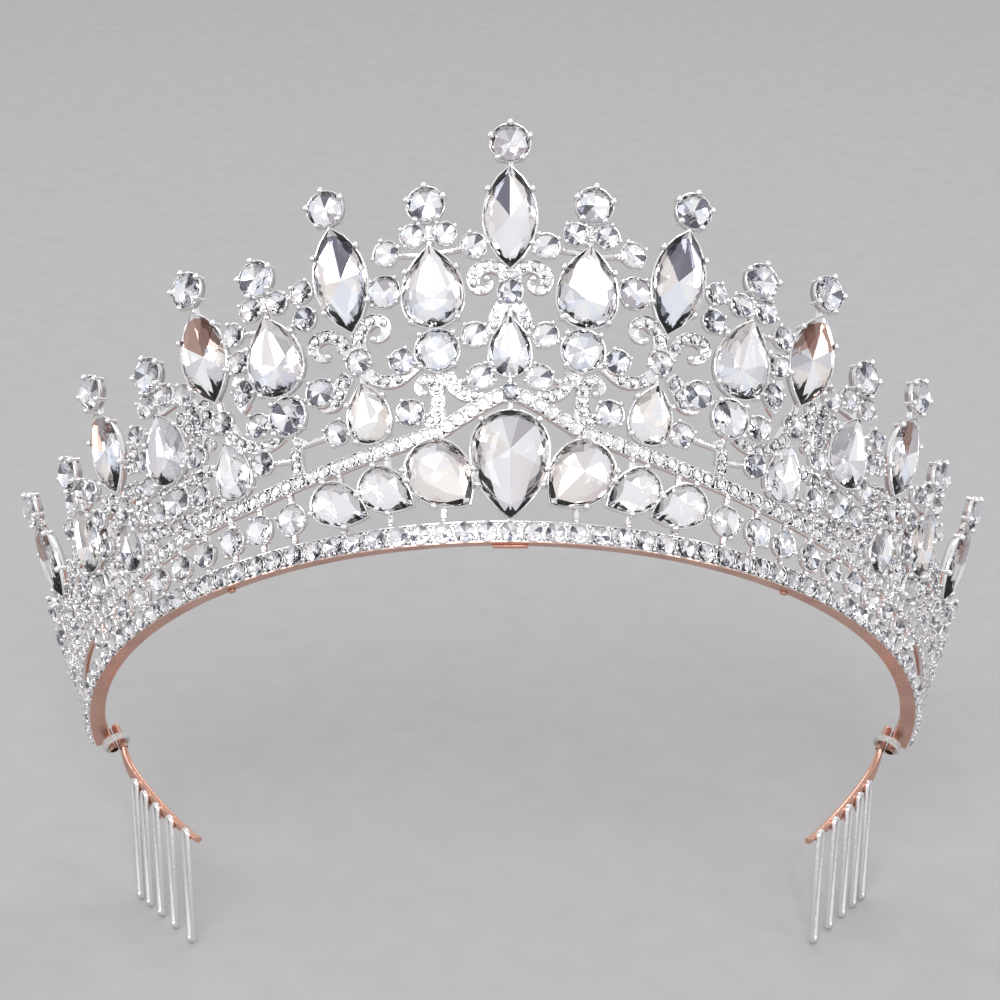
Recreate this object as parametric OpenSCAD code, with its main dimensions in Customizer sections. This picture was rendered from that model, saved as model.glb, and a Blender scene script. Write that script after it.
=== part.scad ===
// Pageant tiara: an open ring of soldered metal set with cut stones, standing on two side combs.
// The pattern is drawn flat, as s along the band and h up the panel, then wrapped on a flared ring.
// Millimetres, +Z up. The origin is on the surface that the combs stand on, below the middle.

/* [Ring] */
// Radius from the ring's axis to the faces of the base row's stones
face_r = 70; // [64:1:76]
// Length of the band from the middle to each end
band_half = 113.5; // [108:0.5:116]
// Outward lean of the panel at the front, in degrees
flare = 15.7; // [10:0.1:20]
// Extra outward lean towards the ends of the panel, in degrees
flare_more = 9; // [0:1:12]
// Depth from the back of the settings to the faces of the stones
setting_depth = 2.4; // [2:0.1:3]

/* [Standing] */
// Angle that the ring's plane leans back by as it stands, in degrees
stand_tilt = 53; // [51:0.5:55]
// Height of the ring's axis point above the surface
stand_height = 26; // [24:0.5:28]
// Distance that brings the middle of the whole over the origin
stand_shift = 14.16; // [12:0.01:18]

/* [Base row] */
// Distance between the stones of the base row
row_pitch = 3.3; // [3.1:0.05:3.5]
// Radius of a stone of the base row
row_r = 1.42; // [1.3:0.02:1.44]
// Height of the band
band_h = 3.1; // [2.9:0.1:3.4]
// Thickness of the strip that backs the base row
strip_t = 1.3; // [1:0.1:1.6]

/* [Rail and arms] */
// Width of the sloped rail
rail_w = 2.2; // [1.8:0.1:2.6]
// Width of the scrolls and arms
arm_w = 1.9; // [1.5:0.1:2.1]
// Width of the plain stems between settings
stem_w = 1.1; // [0.9:0.1:1.4]

/* [Settings] */
// Thickness of a setting's plate
plate_t = 0.9; // [0.8:0.1:1.1]
// Metal that shows round a large stone
rim = 0.45; // [0.35:0.05:0.6]
// Clearance between a stone and its setting
stone_gap = 0.12; // [0.1:0.01:0.2]
// Radius of a prong
prong_r = 0.38; // [0.3:0.02:0.45]
// Radius of a finial stone
finial_r = 2.75; // [2.5:0.05:3]
// Radius of the finial stone at the peak
peak_finial_r = 2.95; // [2.6:0.05:3.1]

/* [Combs] */
// Number of teeth on each comb
tooth_count = 5; // [4:1:6]
// Radius of a tooth's wire
wire_r = 0.45; // [0.35:0.05:0.6]
// Distance between the two wires of a tooth
wire_gap = 1.5; // [1.2:0.1:1.8]

/* [Hidden] */
// Tall columns with a marquise stone, one to a row: number, s at the foot, s at the top, height of the
// finial, then for the marquise height, width and length, then height of the crossing, then for the
// small pear below it height, width and length.
marquise_columns = [
    [0,  0.0,  0.0, 59.4, 47.7, 7.8, 16.0, 36.2, 27.6, 6.0, 9.0],
    [2, 19.0, 23.8, 51.7, 40.1, 8.1, 17.0, 27.2, 19.0, 6.4, 9.2],
    [4, 41.0, 45.6, 46.0, 34.4, 8.2, 15.4, 23.2, 15.2, 6.2, 9.0],
    [6, 64.5, 68.5, 40.0, 28.8, 7.8, 14.4, 18.4, 11.8, 5.4, 7.6],
    [8, 89.0, 91.5, 33.0, 22.4, 7.4, 13.6, 12.6,  0.0, 0.0, 0.0],
];
// Columns with a pear stone: number, s at the foot, s at the top, height of the finial, then for the
// pear height, width and length, then height and radius of the large round stone below it.
pear_columns = [
    [1,  9.3, 10.7, 50.1, 37.2, 9.0, 12.6, 27.4, 3.15],
    [3, 30.5, 34.5, 43.6, 30.7, 9.0, 12.6, 21.0, 2.9],
    [5, 52.3, 55.0, 36.0, 23.2, 8.4, 11.4, 14.2, 2.4],
    [7, 75.5, 78.2, 31.0, 18.6, 8.0, 10.8, 10.0, 2.1],
];
// Pears between the base row and the rail: s, height, width, length, lean of the point in degrees.
lower_pears = [
    [ 9.7, 8.4, 9.0, 11.6, 222],
    [17.6, 6.8, 6.2,  9.0, 236],
    [24.9, 5.7, 6.2,  9.0, 244],
];
// Round stones beside the pear columns: number of the column, distance from its axis, height, radius.
side_rounds = [
    [1, -5.7, 43.3, 1.9],  [1, -5.1, 29.5, 1.9],  [1, -5.6, 23.1, 1.9],
    [1, -2.1, 45.5, 1.75], [1,  2.1, 45.5, 1.75], [1,  5.6, 43.1, 1.9],
    [1,  6.4, 37.2, 2.45], [1,  5.0, 26.3, 1.8],  [1,  4.5, 18.3, 2.0],
    [3, -6.0, 39.6, 1.7],  [3, -5.6, 35.3, 1.8],  [3, -5.4, 23.4, 2.1],
    [3, -6.6, 16.9, 1.85], [3, -2.0, 39.1, 1.75], [3,  2.0, 39.1, 1.75],
    [3,  5.4, 36.1, 1.75], [3,  5.6, 31.5, 1.75], [3,  5.9, 26.6, 1.8],
    [3,  5.0, 20.9, 1.85], [3,  5.8, 15.0, 1.8],
    [5, -5.6, 30.0, 1.75], [5, -5.4, 19.6, 1.6],  [5, -4.4, 13.4, 1.6],
    [5, -2.1, 31.6, 1.7],  [5,  2.1, 31.6, 1.7],  [5,  5.4, 27.8, 1.55],
    [5,  5.4, 23.4, 1.55], [5,  5.4, 18.9, 1.6],  [5,  4.8, 14.2, 1.7],
    [7, -5.2, 24.6, 1.55], [7, -5.2, 19.6, 1.55], [7, -4.6, 14.6, 1.55],
    [7, -2.1, 26.6, 1.6],  [7,  2.1, 26.6, 1.6],  [7,  5.2, 23.4, 1.5],
    [7,  5.2, 18.4, 1.5],  [7,  4.6, 13.4, 1.55],
];
// Round stones that taper off past the last column: s, height, radius.
tail_rounds = [
    [97.6, 17.6, 1.8], [96.4, 12.6, 1.5], [100.6, 13.4, 1.5], [98.8, 8.6, 1.4], [102.6, 8.6, 1.4],
];
// Line of the rail: s, height. It runs from the peak down into the band.
rail_line = [
    [0, 20.6], [2.5, 19.9], [5, 18.3], [10, 15.2], [18, 13.2], [27, 11.4], [39, 9.6], [50, 8.5],
    [60, 7.6], [70, 6.9], [80, 6.3], [90, 5.6], [98, 4.8], [105, 3.2], [109, 1.6],
];
// Scrolls of one side: s, height and heading of the foot, then length and turn of the sweep, length and
// turn of the curl, and the width left at the tip. Headings and turns are clockwise from upwards.
scrolls = [
    [ 0.5, 37.8,   -5, 7.9,  208, 3.7,  204, 0.5],
    [ 0.5, 34.7,  140, 3.9,   31, 1.1,  -60, 0.8],
    [ 8.4, 24.1, -178, 2.3,   29, 4.7,   80, 0.9],
    [22.7, 29.2,   -3, 5.0,  110, 5.0,  182, 0.6],
    [20.0, 28.1,   31, 5.5,  -88, 5.7, -228, 0.6],
    [20.0, 26.1, -164, 7.1,  111, 1.8,    1, 0.7],
    [22.5, 25.1,  159, 3.8,  -14, 3.0, -109, 0.8],
    [11.6, 16.2,  -50, 7.4,   86, 4.2,  226, 0.5],
    [30.6, 10.8,   18, 3.8,  -20, 3.0,  -30, 0.8],
    [42.0, 22.8, -165, 6.2,   46, 5.4,   66, 0.8],
    [39.6, 24.4,  -62, 4.8,  110, 1.4,   10, 0.8],
    [43.6, 23.6,   20, 3.4,   60, 2.6,   85, 0.6],
    [58.4, 14.2,   72, 4.4,  -20, 3.6,  -14, 0.9],
    [66.4, 18.6,  -60, 3.4,  -10, 5.0, -140, 0.6],
    [67.0, 18.8,   40, 3.2,   40, 3.4,  100, 0.6],
    [81.6, 13.4,  120, 4.0,  -30, 4.6,  -35, 0.9],
    [98.8,  8.6,   95, 3.6,   20, 5.0,   75, 0.8],
];
// Plain arms of one side: s and height of each bend.
arms = [
    [[20.9, 27.4], [22.9, 29.8]],
    [[25.6, 22.2], [22.4, 25.6]],
    [[48.6, 29.6], [47.2, 24.0], [48.4, 14.0]],
    [[52.3, 8.2], [52.6, 12.0]],
    [[72.2, 19.6], [72.0, 14.6], [75.0, 8.2]],
    [[82.2, 18.4], [89.8, 12.8]],
    [[90.2, 12.6], [97.2, 17.4]],
    [[89.8, 12.2], [96.4, 12.6], [100.4, 13.2], [103.0, 8.6]],
    [[97.0, 12.2], [98.8, 8.8], [99.4, 4.6]],
];

// Sides of the outlines of the small stones and of the finials
small_sides = 8;
finial_sides = 10;
// Small round stones between the base row and the rail: number, first s, spacing and radii
lower_count = 10;
lower_first = 33;
lower_pitch = 5.38;
lower_r = [2.25, 1.35];
// Metal that shows round a small stone, and how far a prong stands in front of its plate
small_rim = 0.3;
prong_h = 1.25;
// How far out the face of the strip is that carries the base row
strip_out = 1.3;
row_count = floor(band_half / row_pitch);
knob_s = 46.5;
crown_h = 1.1;
small_crown_h = 0.85;
side_names = ["left", "right"];

// Lug under each end of the band, with the comb's stem beside it and the ring that binds them
lug_s = 111;
lug_r = 0.7;
lug_low = -4.4;
lug_high = -0.6;
stem_out = -2.55;
lug_out = -0.95;
binding_r = 2.12;
binding_wire = 0.45;
// Standing frame, from the ring's centre: bend and end of the right comb's bar, lean of its teeth
comb_bend = [62.3, -4.0, -9.6];
comb_end = [49.0, -21.8, -8.4];
comb_steps = 12;
tooth_rake = 16;

function phi(s) = s / face_r * 180 / PI;
function ease(t) = let (u = min(max(t, 0), 1)) u * u * (3 - 2 * u);
function lean(s) = flare + flare_more * ease((abs(s) - 65) / 40);
function back_r() = face_r - setting_depth;
function spot(s, h, out) =
    let (p = phi(s), a = lean(s), r = back_r() + h * sin(a) + out * cos(a))
    [r * sin(p), -r * cos(p), h * cos(a) - out * sin(a)];

// Height of the rail over s, between the points of its line
function rail_h(s) = lookup(abs(s), rail_line);

// Place on a column's axis at height h, for any row of the two column tables
function axis_s(row, h) =
    let (foot = rail_h(row[1])) row[1] + (row[2] - row[1]) * (h - foot) / (row[3] - foot);
function axis_turn(row) = atan((row[2] - row[1]) * 1.15 / (row[3] - rail_h(row[1])));
function pear_row(n) = pear_columns[(n - 1) / 2];
function top_r(row) = row[0] == 0 ? peak_finial_r : finial_r;

// Outlines, as points round a stone of width w and length l
function round_line(r, n) = [for (i = [0:n - 1]) r * [sin(360 * (i + 0.5) / n), cos(360 * (i + 0.5) / n)]];
function marquise_x(t) = pow(1 - t * t, 0.85);
function marquise_line(w, l) =
    let (steps = [1, 0.74, 0.38, 0, -0.38, -0.74])
    concat([for (t = steps) [w / 2 * marquise_x(t), l / 2 * t]],
           [for (t = steps) [-w / 2 * marquise_x(t), -l / 2 * t]]);
function pear_line(w, l) =
    let (low = w / 2 - l / 2, rise = l - w / 2, steps = [0.72, 0.38])
    concat([[0, l / 2]],
           [for (t = steps) [w / 2 * (1 - pow(t, 2.4)), low + rise * t]],
           [for (a = [90:30:270]) [w / 2 * sin(a), low + w / 2 * cos(a)]],
           [for (t = [0.38, 0.72]) [-w / 2 * (1 - pow(t, 2.4)), low + rise * t]]);

// Same outline with a margin added all round
function grown(line, w, l, more) = [for (p = line) [p[0] * (w + 2 * more) / w, p[1] * (l + 2 * more) / l]];

// Faces of a body of n points a ring; rings run from low to high, points run clockwise
function ring_faces(n, rings) = concat(
    [[for (i = [0:n - 1]) i]],
    [for (k = [0:rings - 2], i = [0:n - 1])
        let (j = (i + 1) % n, a = k * n) [a + j, a + i, a + n + i, a + n + j]],
    [[for (i = [n - 1:-1:0]) (rings - 1) * n + i]]);

// Body through one outline at several levels: rings holds scale and z of each
module stacked(line, rings)
    hull() polyhedron(
        points = [for (ring = rings, p = line) [p[0] * ring[0], p[1] * ring[0], ring[1]]],
        faces = ring_faces(len(line), len(rings)));

// Puts a piece drawn face up, x across and y up, on the wrapped panel
module on_panel(s, h, turn = 0)
    rotate([0, 0, phi(s)]) translate([0, -back_r(), 0]) rotate([lean(s), 0, 0])
        translate([0, 0, h]) rotate([90, 0, 0]) rotate([0, 0, -turn]) children();

// Puts the ring's own frame on the combs
module standing()
    translate([0, stand_shift, stand_height]) rotate([-stand_tilt, 0, 0]) children();
function stood(p) = [p[0], p[1] * cos(stand_tilt) + p[2] * sin(stand_tilt),
                     p[2] * cos(stand_tilt) - p[1] * sin(stand_tilt)];

// Columns are flat castings joined side by side: s of the middle of each one's plane
plate_middles = [0, 10, 21.4, 32.5, 43.3, 53.7, 66.5, 76.9, 90.3, 101];
function plate_index(s) =
    let (gaps = [for (m = plate_middles) abs(m - abs(s))]) search(min(gaps), gaps)[0];
function plate_of(s) = plate_middles[plate_index(s)] * (s < 0 ? -1 : 1);

// Place of s and h in the plane of the casting whose middle is at m
function flat(m, s, h) = [(s - m) * (back_r() + h * sin(lean(m))) / face_r, h];
module on_plate(s, h, turn = 0)
    on_panel(plate_of(s), 0) translate(flat(plate_of(s), s, h)) rotate([0, 0, -turn]) children();

// Path of a scroll: a sweep and then a curl, each an arc of so many steps
arc_count = 6;
function along(p, l, t, f) = let (r = l * 180 / PI / t)
    [p[0] + r * (cos(p[2]) - cos(p[2] + t * f)), p[1] + r * (sin(p[2] + t * f) - sin(p[2])), p[2] + t * f];
function scroll_path(q) = let (foot = [q[0], q[1], q[2]], bend = along(foot, q[3], q[4], 1))
    concat([for (i = [0:arc_count]) along(foot, q[3], q[4], i / arc_count)],
           [for (i = [1:arc_count]) along(bend, q[5], q[6], i / arc_count)]);

// Strip along points; tip is the share of its width left at the far end
function taper(t, tip) = 1 - (1 - tip) * ease(2 * t - 1);
function path_normal(path, i) =
    let (d = path[min(i + 1, len(path) - 1)] - path[max(i - 1, 0)]) [-d[1], d[0]] / norm(d);
module strip(path, w, tip = 1) let (last = len(path) - 1)
    polygon([for (side = [1, -1], k = [0:last]) let (i = side > 0 ? k : last - k)
        path[i] + path_normal(path, i) * side * w / 2 * taper(i / last, tip)]);

// Cut stones: girdle, crown and table on a short tapered base
module large_gem(line)
    translate([0, 0, plate_t + stone_gap]) stacked(line, [[0.9, 0], [1, 0.5], [0.6, 0.5 + crown_h]]);
module small_gem(r, seat = plate_t)
    translate([0, 0, seat + stone_gap])
        stacked(round_line(r, small_sides), [[1, 0], [0.58, small_crown_h]]);

// All places of the smaller round stones of one side: s, height, radius
function lower_row(i) = [lower_first + lower_pitch * i,
    (rail_h(lower_first + lower_pitch * i) - rail_w / 2 + band_h / 2) / 2,
    lower_r[0] + (lower_r[1] - lower_r[0]) * i / (lower_count - 1)];
side_places = [
    for (q = side_rounds) let (row = pear_row(q[0])) [axis_s(row, q[2]) + q[1], q[2], q[3]],
    for (q = tail_rounds) q,
    for (i = [0:lower_count - 1]) lower_row(i),
    for (row = marquise_columns) if (row[0] > 0) [axis_s(row, row[7]), row[7], 1.85]];
middle_places = [[0, marquise_columns[0][7], 1.8], [0, 20.6, 1.25]];

// Nodes of the large stones: name, kind, s, height, width, length, turn
function named(stem, n, s) =
    n == 0 ? str(stem, "_middle") : str(stem, "_", n, "_", side_names[s > 0 ? 1 : 0]);
function mirrored_rows(row) = row[2] == 0 ? [row]
    : [for (side = [-1, 1]) [row[0], row[1], side * row[2], row[3], row[4], row[5], side * row[6], row[7]]];
large_rows = [
    for (r = marquise_columns)
        ["marquise", "marquise", axis_s(r, r[4]), r[4], r[5], r[6], axis_turn(r), r[0]],
    for (r = pear_columns) ["pear", "pear", axis_s(r, r[4]), r[4], r[5], r[6], axis_turn(r), r[0]],
    for (r = marquise_columns) if (r[8] > 0)
        ["small_pear", "pear", axis_s(r, r[8]), r[8], r[9], r[10], axis_turn(r), r[0]],
    for (r = pear_columns) ["large_round", "round", axis_s(r, r[7]), r[7], 2 * r[8], 2 * r[8], 0, r[0]],
    ["lower_pear", "pear", 0, 9.9, 11.2, 16.0, 180, 0],
    for (i = [0:len(lower_pears) - 1]) let (r = lower_pears[i])
        ["lower_pear", "pear", r[0], r[1], r[2], r[3], r[4], i + 1]];
large_stones = [
    for (row = large_rows, q = mirrored_rows(row))
        [named(q[0], q[7], q[2]), q[1], q[2], q[3], q[4], q[5], q[6]]];
function outline(q) =
    q[1] == "marquise" ? marquise_line(q[4], q[5])
    : q[1] == "pear" ? pear_line(q[4], q[5])
    : round_line(q[4] / 2, 10);
function prong_marks(q) =
    q[1] == "marquise" ? [2, 4, 8, 10] : q[1] == "pear" ? [1, 4, 8, 11] : [1, 4, 6, 9];

// Base strip: the cups of the base row and the smooth strip that backs them
module band() {
    half = band_h / 2;
    section = [[-half, -strip_t], [half, -strip_t], [half, strip_out], [-half, strip_out]];
    rotate([0, 0, -90 - phi(band_half)]) rotate_extrude(angle = 2 * phi(band_half), $fn = 120)
        polygon([for (q = section) [back_r() + q[0] * sin(flare) + q[1] * cos(flare),
                                    q[0] * cos(flare) - q[1] * sin(flare)]]);
}

// Edges of a casting along s, and whether a thing at s may reach onto it
function edge(k) = k == 0 ? 0 : k > 9 ? 125 : (plate_middles[k - 1] + plate_middles[k]) / 2;
function near(k, s) = s > edge(k) - 9 && s < edge(k + 1) + 9;

// Rail across one casting
module rail_part(m, k)
    strip([for (s = [edge(k) - 2 : 3 : min(edge(k + 1) + 2, 107)]) flat(m, s, rail_h(s))], rail_w);

// Sector that a casting fills, a little past its seams with the next ones
seam_lap = 0.15;
module sector(m, k)
    polygon([for (q = [[0, -3], [0, 70], [1, 70], [1, -3]])
        flat(m, edge(k + q[0]) + (2 * q[0] - 1) * seam_lap, q[1])]);

// One flat casting: its cups, and its lengths of the rail, scrolls and stems, pierced between them
module large_cup(m, q)
    translate(flat(m, q[2], q[3])) rotate([0, 0, -q[6]]) polygon(grown(outline(q), q[4], q[5], rim));
module cups(k) {
    m = plate_middles[k];
    for (q = side_places) if (plate_index(q[0]) == k)
        translate(flat(m, q[0], q[1])) circle(r = q[2] + small_rim, $fn = 24);
    for (q = large_stones) if (q[2] > 0 && plate_index(q[2]) == k) large_cup(m, q);
    for (r = concat(marquise_columns, pear_columns)) if (r[2] > 0 && plate_index(r[2]) == k)
        translate(flat(m, r[2], r[3])) circle(r = top_r(r) + small_rim, $fn = 32);
}
module bars(k) {
    m = plate_middles[k];
    rail_part(m, k);
    for (q = scrolls) if (near(k, q[0]))
        strip([for (p = scroll_path(q)) flat(m, p[0], p[1])], arm_w, q[7]);
    for (path = arms) if (near(k, path[1][0]))
        strip([for (p = path) flat(m, p[0], p[1])], arm_w * 0.9);
    for (q = side_rounds) let (r = pear_row(q[0]), s = axis_s(r, q[2]) + q[1]) if (near(k, s))
        strip([flat(m, s, q[2]), flat(m, axis_s(r, q[2] - 0.7), q[2] - 0.7)], stem_w);
    for (q = concat([for (i = [0:lower_count - 1]) lower_row(i)], lower_pears)) if (near(k, q[0]))
        strip([flat(m, q[0], 1), flat(m, q[0], rail_h(q[0]))], stem_w);
    for (r = concat(marquise_columns, pear_columns)) if (near(k, r[2]))
        strip([flat(m, r[1], rail_h(r[1])), flat(m, r[2], r[3])], stem_w);
}
module casting(k) {
    cups(k);
    intersection() {
        sector(plate_middles[k], k);
        bars(k);
    }
}
module middle_casting() {
    casting(0);
    mirror([1, 0]) casting(0);
    strip([[0, 1], [0, 20]], stem_w);
    for (q = large_stones) if (q[2] == 0) large_cup(0, q);
    for (q = middle_places) translate([0, q[1]]) circle(r = q[2] + small_rim, $fn = 24);
    translate([0, marquise_columns[0][3]]) circle(r = peak_finial_r + small_rim, $fn = 32);
}

// Prongs of one casting: round posts at the edge of each large stone and of the finial, cut clear of
// the stones beside them
module posts(k) difference() {
    m = plate_middles[k];
    union() {
        for (q = large_stones) if (q[2] >= 0 && plate_index(q[2]) == k)
            translate(flat(m, q[2], q[3])) rotate([0, 0, -q[6]])
                for (i = prong_marks(q)) translate(outline(q)[i] * (1 + 0.68 / norm(outline(q)[i])))
                    circle(r = prong_r, $fn = 16);
        for (r = concat(marquise_columns, pear_columns)) if (plate_index(r[2]) == k)
            translate(flat(m, r[2], r[3])) rotate([0, 0, -axis_turn(r)])
                for (i = [0:4]) rotate(72 * i) translate([0, top_r(r) + stone_gap + prong_r])
                    circle(r = prong_r, $fn = 16);
    }
    for (side = k == 0 ? [1, 0] : [0]) mirror([side, 0]) {
        for (q = side_places) if (near(k, q[0]))
            translate(flat(m, q[0], q[1])) circle(r = q[2] + 0.15, $fn = 24);
        for (q = large_stones) if (near(k, q[2]))
            translate(flat(m, q[2], q[3])) rotate([0, 0, -q[6]])
                polygon(grown(outline(q), q[4], q[5], 0.15));
    }
}

// Lug that the comb's stem is bound to
module lug() on_panel(lug_s, lug_low) translate([0, 0, lug_out]) rotate([-90, 0, 0])
    cylinder(h = lug_high - lug_low, r = lug_r, $fn = 24);

// Solder tab below the middle of the strip, and the two knobs beside it
module under_tab(s, w)
    on_panel(s, -band_h / 2 - 0.45) translate([-w / 2, 0, -strip_t + 0.1]) cube([w, 0.6, 0.9]);

module frame() color("silver") standing() {
    band();
    under_tab(0, 5.2);
    under_tab(-knob_s, 1.1);
    under_tab(knob_s, 1.1);
    on_panel(0, 0) {
        linear_extrude(plate_t) middle_casting();
        linear_extrude(plate_t + prong_h) posts(0);
    }
    for (side = [0, 1]) mirror([side, 0, 0]) {
        lug();
        for (k = [1:len(plate_middles) - 1]) on_panel(plate_middles[k], 0) {
            linear_extrude(plate_t) casting(k);
            linear_extrude(plate_t + prong_h) posts(k);
        }
    }
}

module band_stones() color("white") standing()
    for (i = [-row_count:row_count]) rotate([0, 0, phi(i * row_pitch)]) translate([0, -back_r(), 0])
        rotate([90 + flare, 0, 0]) small_gem(row_r, strip_out);

module finial_stones() color("white") standing()
    for (row = concat(pear_columns, marquise_columns), side = row[0] == 0 ? [1] : [-1, 1])
        on_plate(side * row[2], row[3], side * axis_turn(row))
            large_gem(round_line(top_r(row), finial_sides));

module round_stones(side) color("white") standing() {
    for (q = side_places) on_plate(side * q[0], q[1]) small_gem(q[2]);
    if (side > 0) for (q = middle_places) on_plate(q[0], q[1]) small_gem(q[2]);
}
module round_stones_left() round_stones(-1);
module round_stones_right() round_stones(1);

module large_stone(q) color("white") standing() on_plate(q[2], q[3], q[6]) large_gem(outline(q));

// Faces of a bar of n points a ring
function bar_faces(n, rings) = concat(
    [[for (i = [n - 1:-1:0]) i]],
    [for (k = [0:rings - 2], i = [0:n - 1])
        let (j = (i + 1) % n, a = k * n) each [[a + i, a + j, a + n + j], [a + i, a + n + j, a + n + i]]],
    [[for (i = [0:n - 1]) (rings - 1) * n + i]]);

// Right comb: a stem beside the lug, a flat bar that curves down and forward, hairpin teeth of wire
comb_start = stood(spot(lug_s, lug_low, stem_out));
function comb_line(t) = (1 - t) * (1 - t) * comb_start + 2 * t * (1 - t) * comb_bend + t * t * comb_end;
function comb_depth(t) = 0.45 + 1.2 * sin(180 * min(t * 1.05, 1));
function unit(v) = v / norm(v);
function comb_way(t) = unit(comb_line(min(t + 0.04, 1)) - comb_line(max(t - 0.04, 0)));
function comb_side(t) = unit([-comb_way(t)[1], comb_way(t)[0], 0]);
module comb_bar() {
    points = [for (i = [0:comb_steps])
        let (t = i / comb_steps, c = comb_line(t), e = comb_side(t) * 0.5,
             up = cross(comb_way(t), comb_side(t)) * comb_depth(t))
        each [c - e + up, c + e + up, c + e - up, c - e - up]];
    polyhedron(points, bar_faces(4, comb_steps + 1));
}
module tooth(t) {
    foot = comb_line(t) - [0, 0, 0.4];
    across = comb_way(t);
    heading = atan2(across[1], across[0]);
    half = wire_gap / 2;
    sink = half * norm([cos(tooth_rake), sin(tooth_rake) * sin(heading)]) + wire_r;
    drop = (stand_height + foot[2] - sink) / cos(tooth_rake);
    translate(foot) rotate([-tooth_rake, 0, 0]) translate([0, 0, -drop]) rotate([0, 0, heading]) {
        for (e = [-half, half]) translate([e, 0, 0]) cylinder(h = drop, r = wire_r, $fn = 24);
        rotate([-90, 0, 0]) rotate_extrude(angle = 180, $fn = 24)
            translate([half, 0]) circle(r = wire_r, $fn = 24);
    }
}
module comb_stem() rotate([-stand_tilt, 0, 0]) on_panel(lug_s, lug_low) translate([0, -0.3, stem_out])
    rotate([-90, 0, 0]) cylinder(h = lug_high - lug_low, r = lug_r, $fn = 24);
module comb() color("rosybrown") {
    comb_stem();
    comb_bar();
    for (i = [0:tooth_count - 1]) tooth(0.42 + 0.52 * i / (tooth_count - 1));
}
module left_comb() translate([0, stand_shift, stand_height]) mirror([1, 0, 0]) comb();
module right_comb() translate([0, stand_shift, stand_height]) comb();

// Ring that binds the comb's stem to the lug
module binding() color("whitesmoke") standing()
    on_panel(lug_s, lug_low + 1.2) translate([0, 0, (lug_out + stem_out) / 2]) rotate([90, 0, 0])
        rotate_extrude($fn = 32) translate([binding_r, 0]) circle(r = binding_wire, $fn = 16);
module left_binding() mirror([1, 0, 0]) binding();
module right_binding() binding();

frame();
band_stones();
finial_stones();
round_stones_left();
round_stones_right();
left_comb();
right_comb();
left_binding();
right_binding();
for (q = large_stones) large_stone(q);
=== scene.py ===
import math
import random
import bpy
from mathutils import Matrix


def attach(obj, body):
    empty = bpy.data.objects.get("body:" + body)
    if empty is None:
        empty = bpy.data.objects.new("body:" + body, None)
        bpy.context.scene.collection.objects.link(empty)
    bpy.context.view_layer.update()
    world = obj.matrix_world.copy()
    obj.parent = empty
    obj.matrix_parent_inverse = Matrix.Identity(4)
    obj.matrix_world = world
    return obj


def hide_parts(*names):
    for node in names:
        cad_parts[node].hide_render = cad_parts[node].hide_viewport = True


bl_info = {
    "name": "Pageant Tiara",
    "version": (1, 0, 0),
    "blender": (4, 5, 0),
    "location": "3D View > Sidebar > Tiara",
    "description": "Cut stones, cups, prongs, scrolls and combs for the tiara's packed frame",
    "category": "Add Mesh",
}

import bpy
from bpy.props import FloatProperty, FloatVectorProperty, IntProperty, PointerProperty
from mathutils import Matrix, Vector

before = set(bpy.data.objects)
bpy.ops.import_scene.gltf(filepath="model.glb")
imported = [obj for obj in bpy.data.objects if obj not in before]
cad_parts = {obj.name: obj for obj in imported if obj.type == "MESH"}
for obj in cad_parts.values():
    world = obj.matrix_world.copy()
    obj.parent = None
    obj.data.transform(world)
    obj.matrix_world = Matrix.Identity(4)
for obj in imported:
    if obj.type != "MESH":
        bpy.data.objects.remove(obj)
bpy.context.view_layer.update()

# Lengths below are millimetres in the pattern: s runs along the band, h up the panel, out towards the front.
MM = 0.001
FACE_R, BACK_R = 70.0, 67.6
BAND_HALF, BAND_H, STRIP_OUT = 113.5, 3.1, 1.3
FLARE, FLARE_MORE = 15.7, 9.0
TILT, STAND_HEIGHT, STAND_SHIFT = 53.0, 26.0, 14.16
PLATE, SEAT_GAP = 0.9, 0.12
ROW_PITCH, ROW_R, CLAW_ROW_H, FINIAL_R, PEAK_R = 3.3, 1.42, 1.12 * 0.94, 2.75, 2.95
KNOB_S, RAIL_W, RAIL_END = 46.5, 2.2, 106.5
# Distances between two of the finest stones: the least, and the most at which one holds the other
FILL_APART, FILL_NEAR = 1.95, 2.3
# Width, height of the girdle and depth of the crown of the finest stones
FINE_CUTS = {"rail": (1.94, 1.2, 0.5), "scroll": (1.56, 1.16, 0.42), "arm": (1.36, 1.12, 0.38),
             "fill": (1.9, 1.12, 0.5)}
PLATE_MIDDLES = (0, 10, 21.4, 32.5, 43.3, 53.7, 66.5, 76.9, 90.3, 101)

# Columns with a marquise: number, s at the foot, s at the top, finial height, marquise height, width and
# length, crossing height, then height, width and length of the small pear below
MARQUISE_COLUMNS = (
    (0, 0.0, 0.0, 59.4, 47.7, 7.8, 16.0, 36.2, 27.6, 6.0, 9.0),
    (2, 19.0, 23.8, 51.7, 40.1, 8.1, 17.0, 27.2, 19.0, 6.4, 9.2),
    (4, 41.0, 45.6, 46.0, 34.4, 8.2, 15.4, 23.2, 15.2, 6.2, 9.0),
    (6, 64.5, 68.5, 40.0, 28.8, 7.8, 14.4, 18.4, 11.8, 5.4, 7.6),
    (8, 89.0, 91.5, 33.0, 22.4, 7.4, 13.6, 12.6, 0.0, 0.0, 0.0),
)
# Columns with a pear: number, s at the foot, s at the top, finial height, pear height, width and length,
# height and radius of the large round below
PEAR_COLUMNS = (
    (1, 9.3, 10.7, 50.1, 37.2, 9.0, 12.6, 27.4, 3.15),
    (3, 30.5, 34.5, 43.6, 30.7, 9.0, 12.6, 21.0, 2.9),
    (5, 52.3, 55.0, 36.0, 23.2, 8.4, 11.4, 14.2, 2.4),
    (7, 75.5, 78.2, 31.0, 18.6, 8.0, 10.8, 10.0, 2.1),
)
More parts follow.
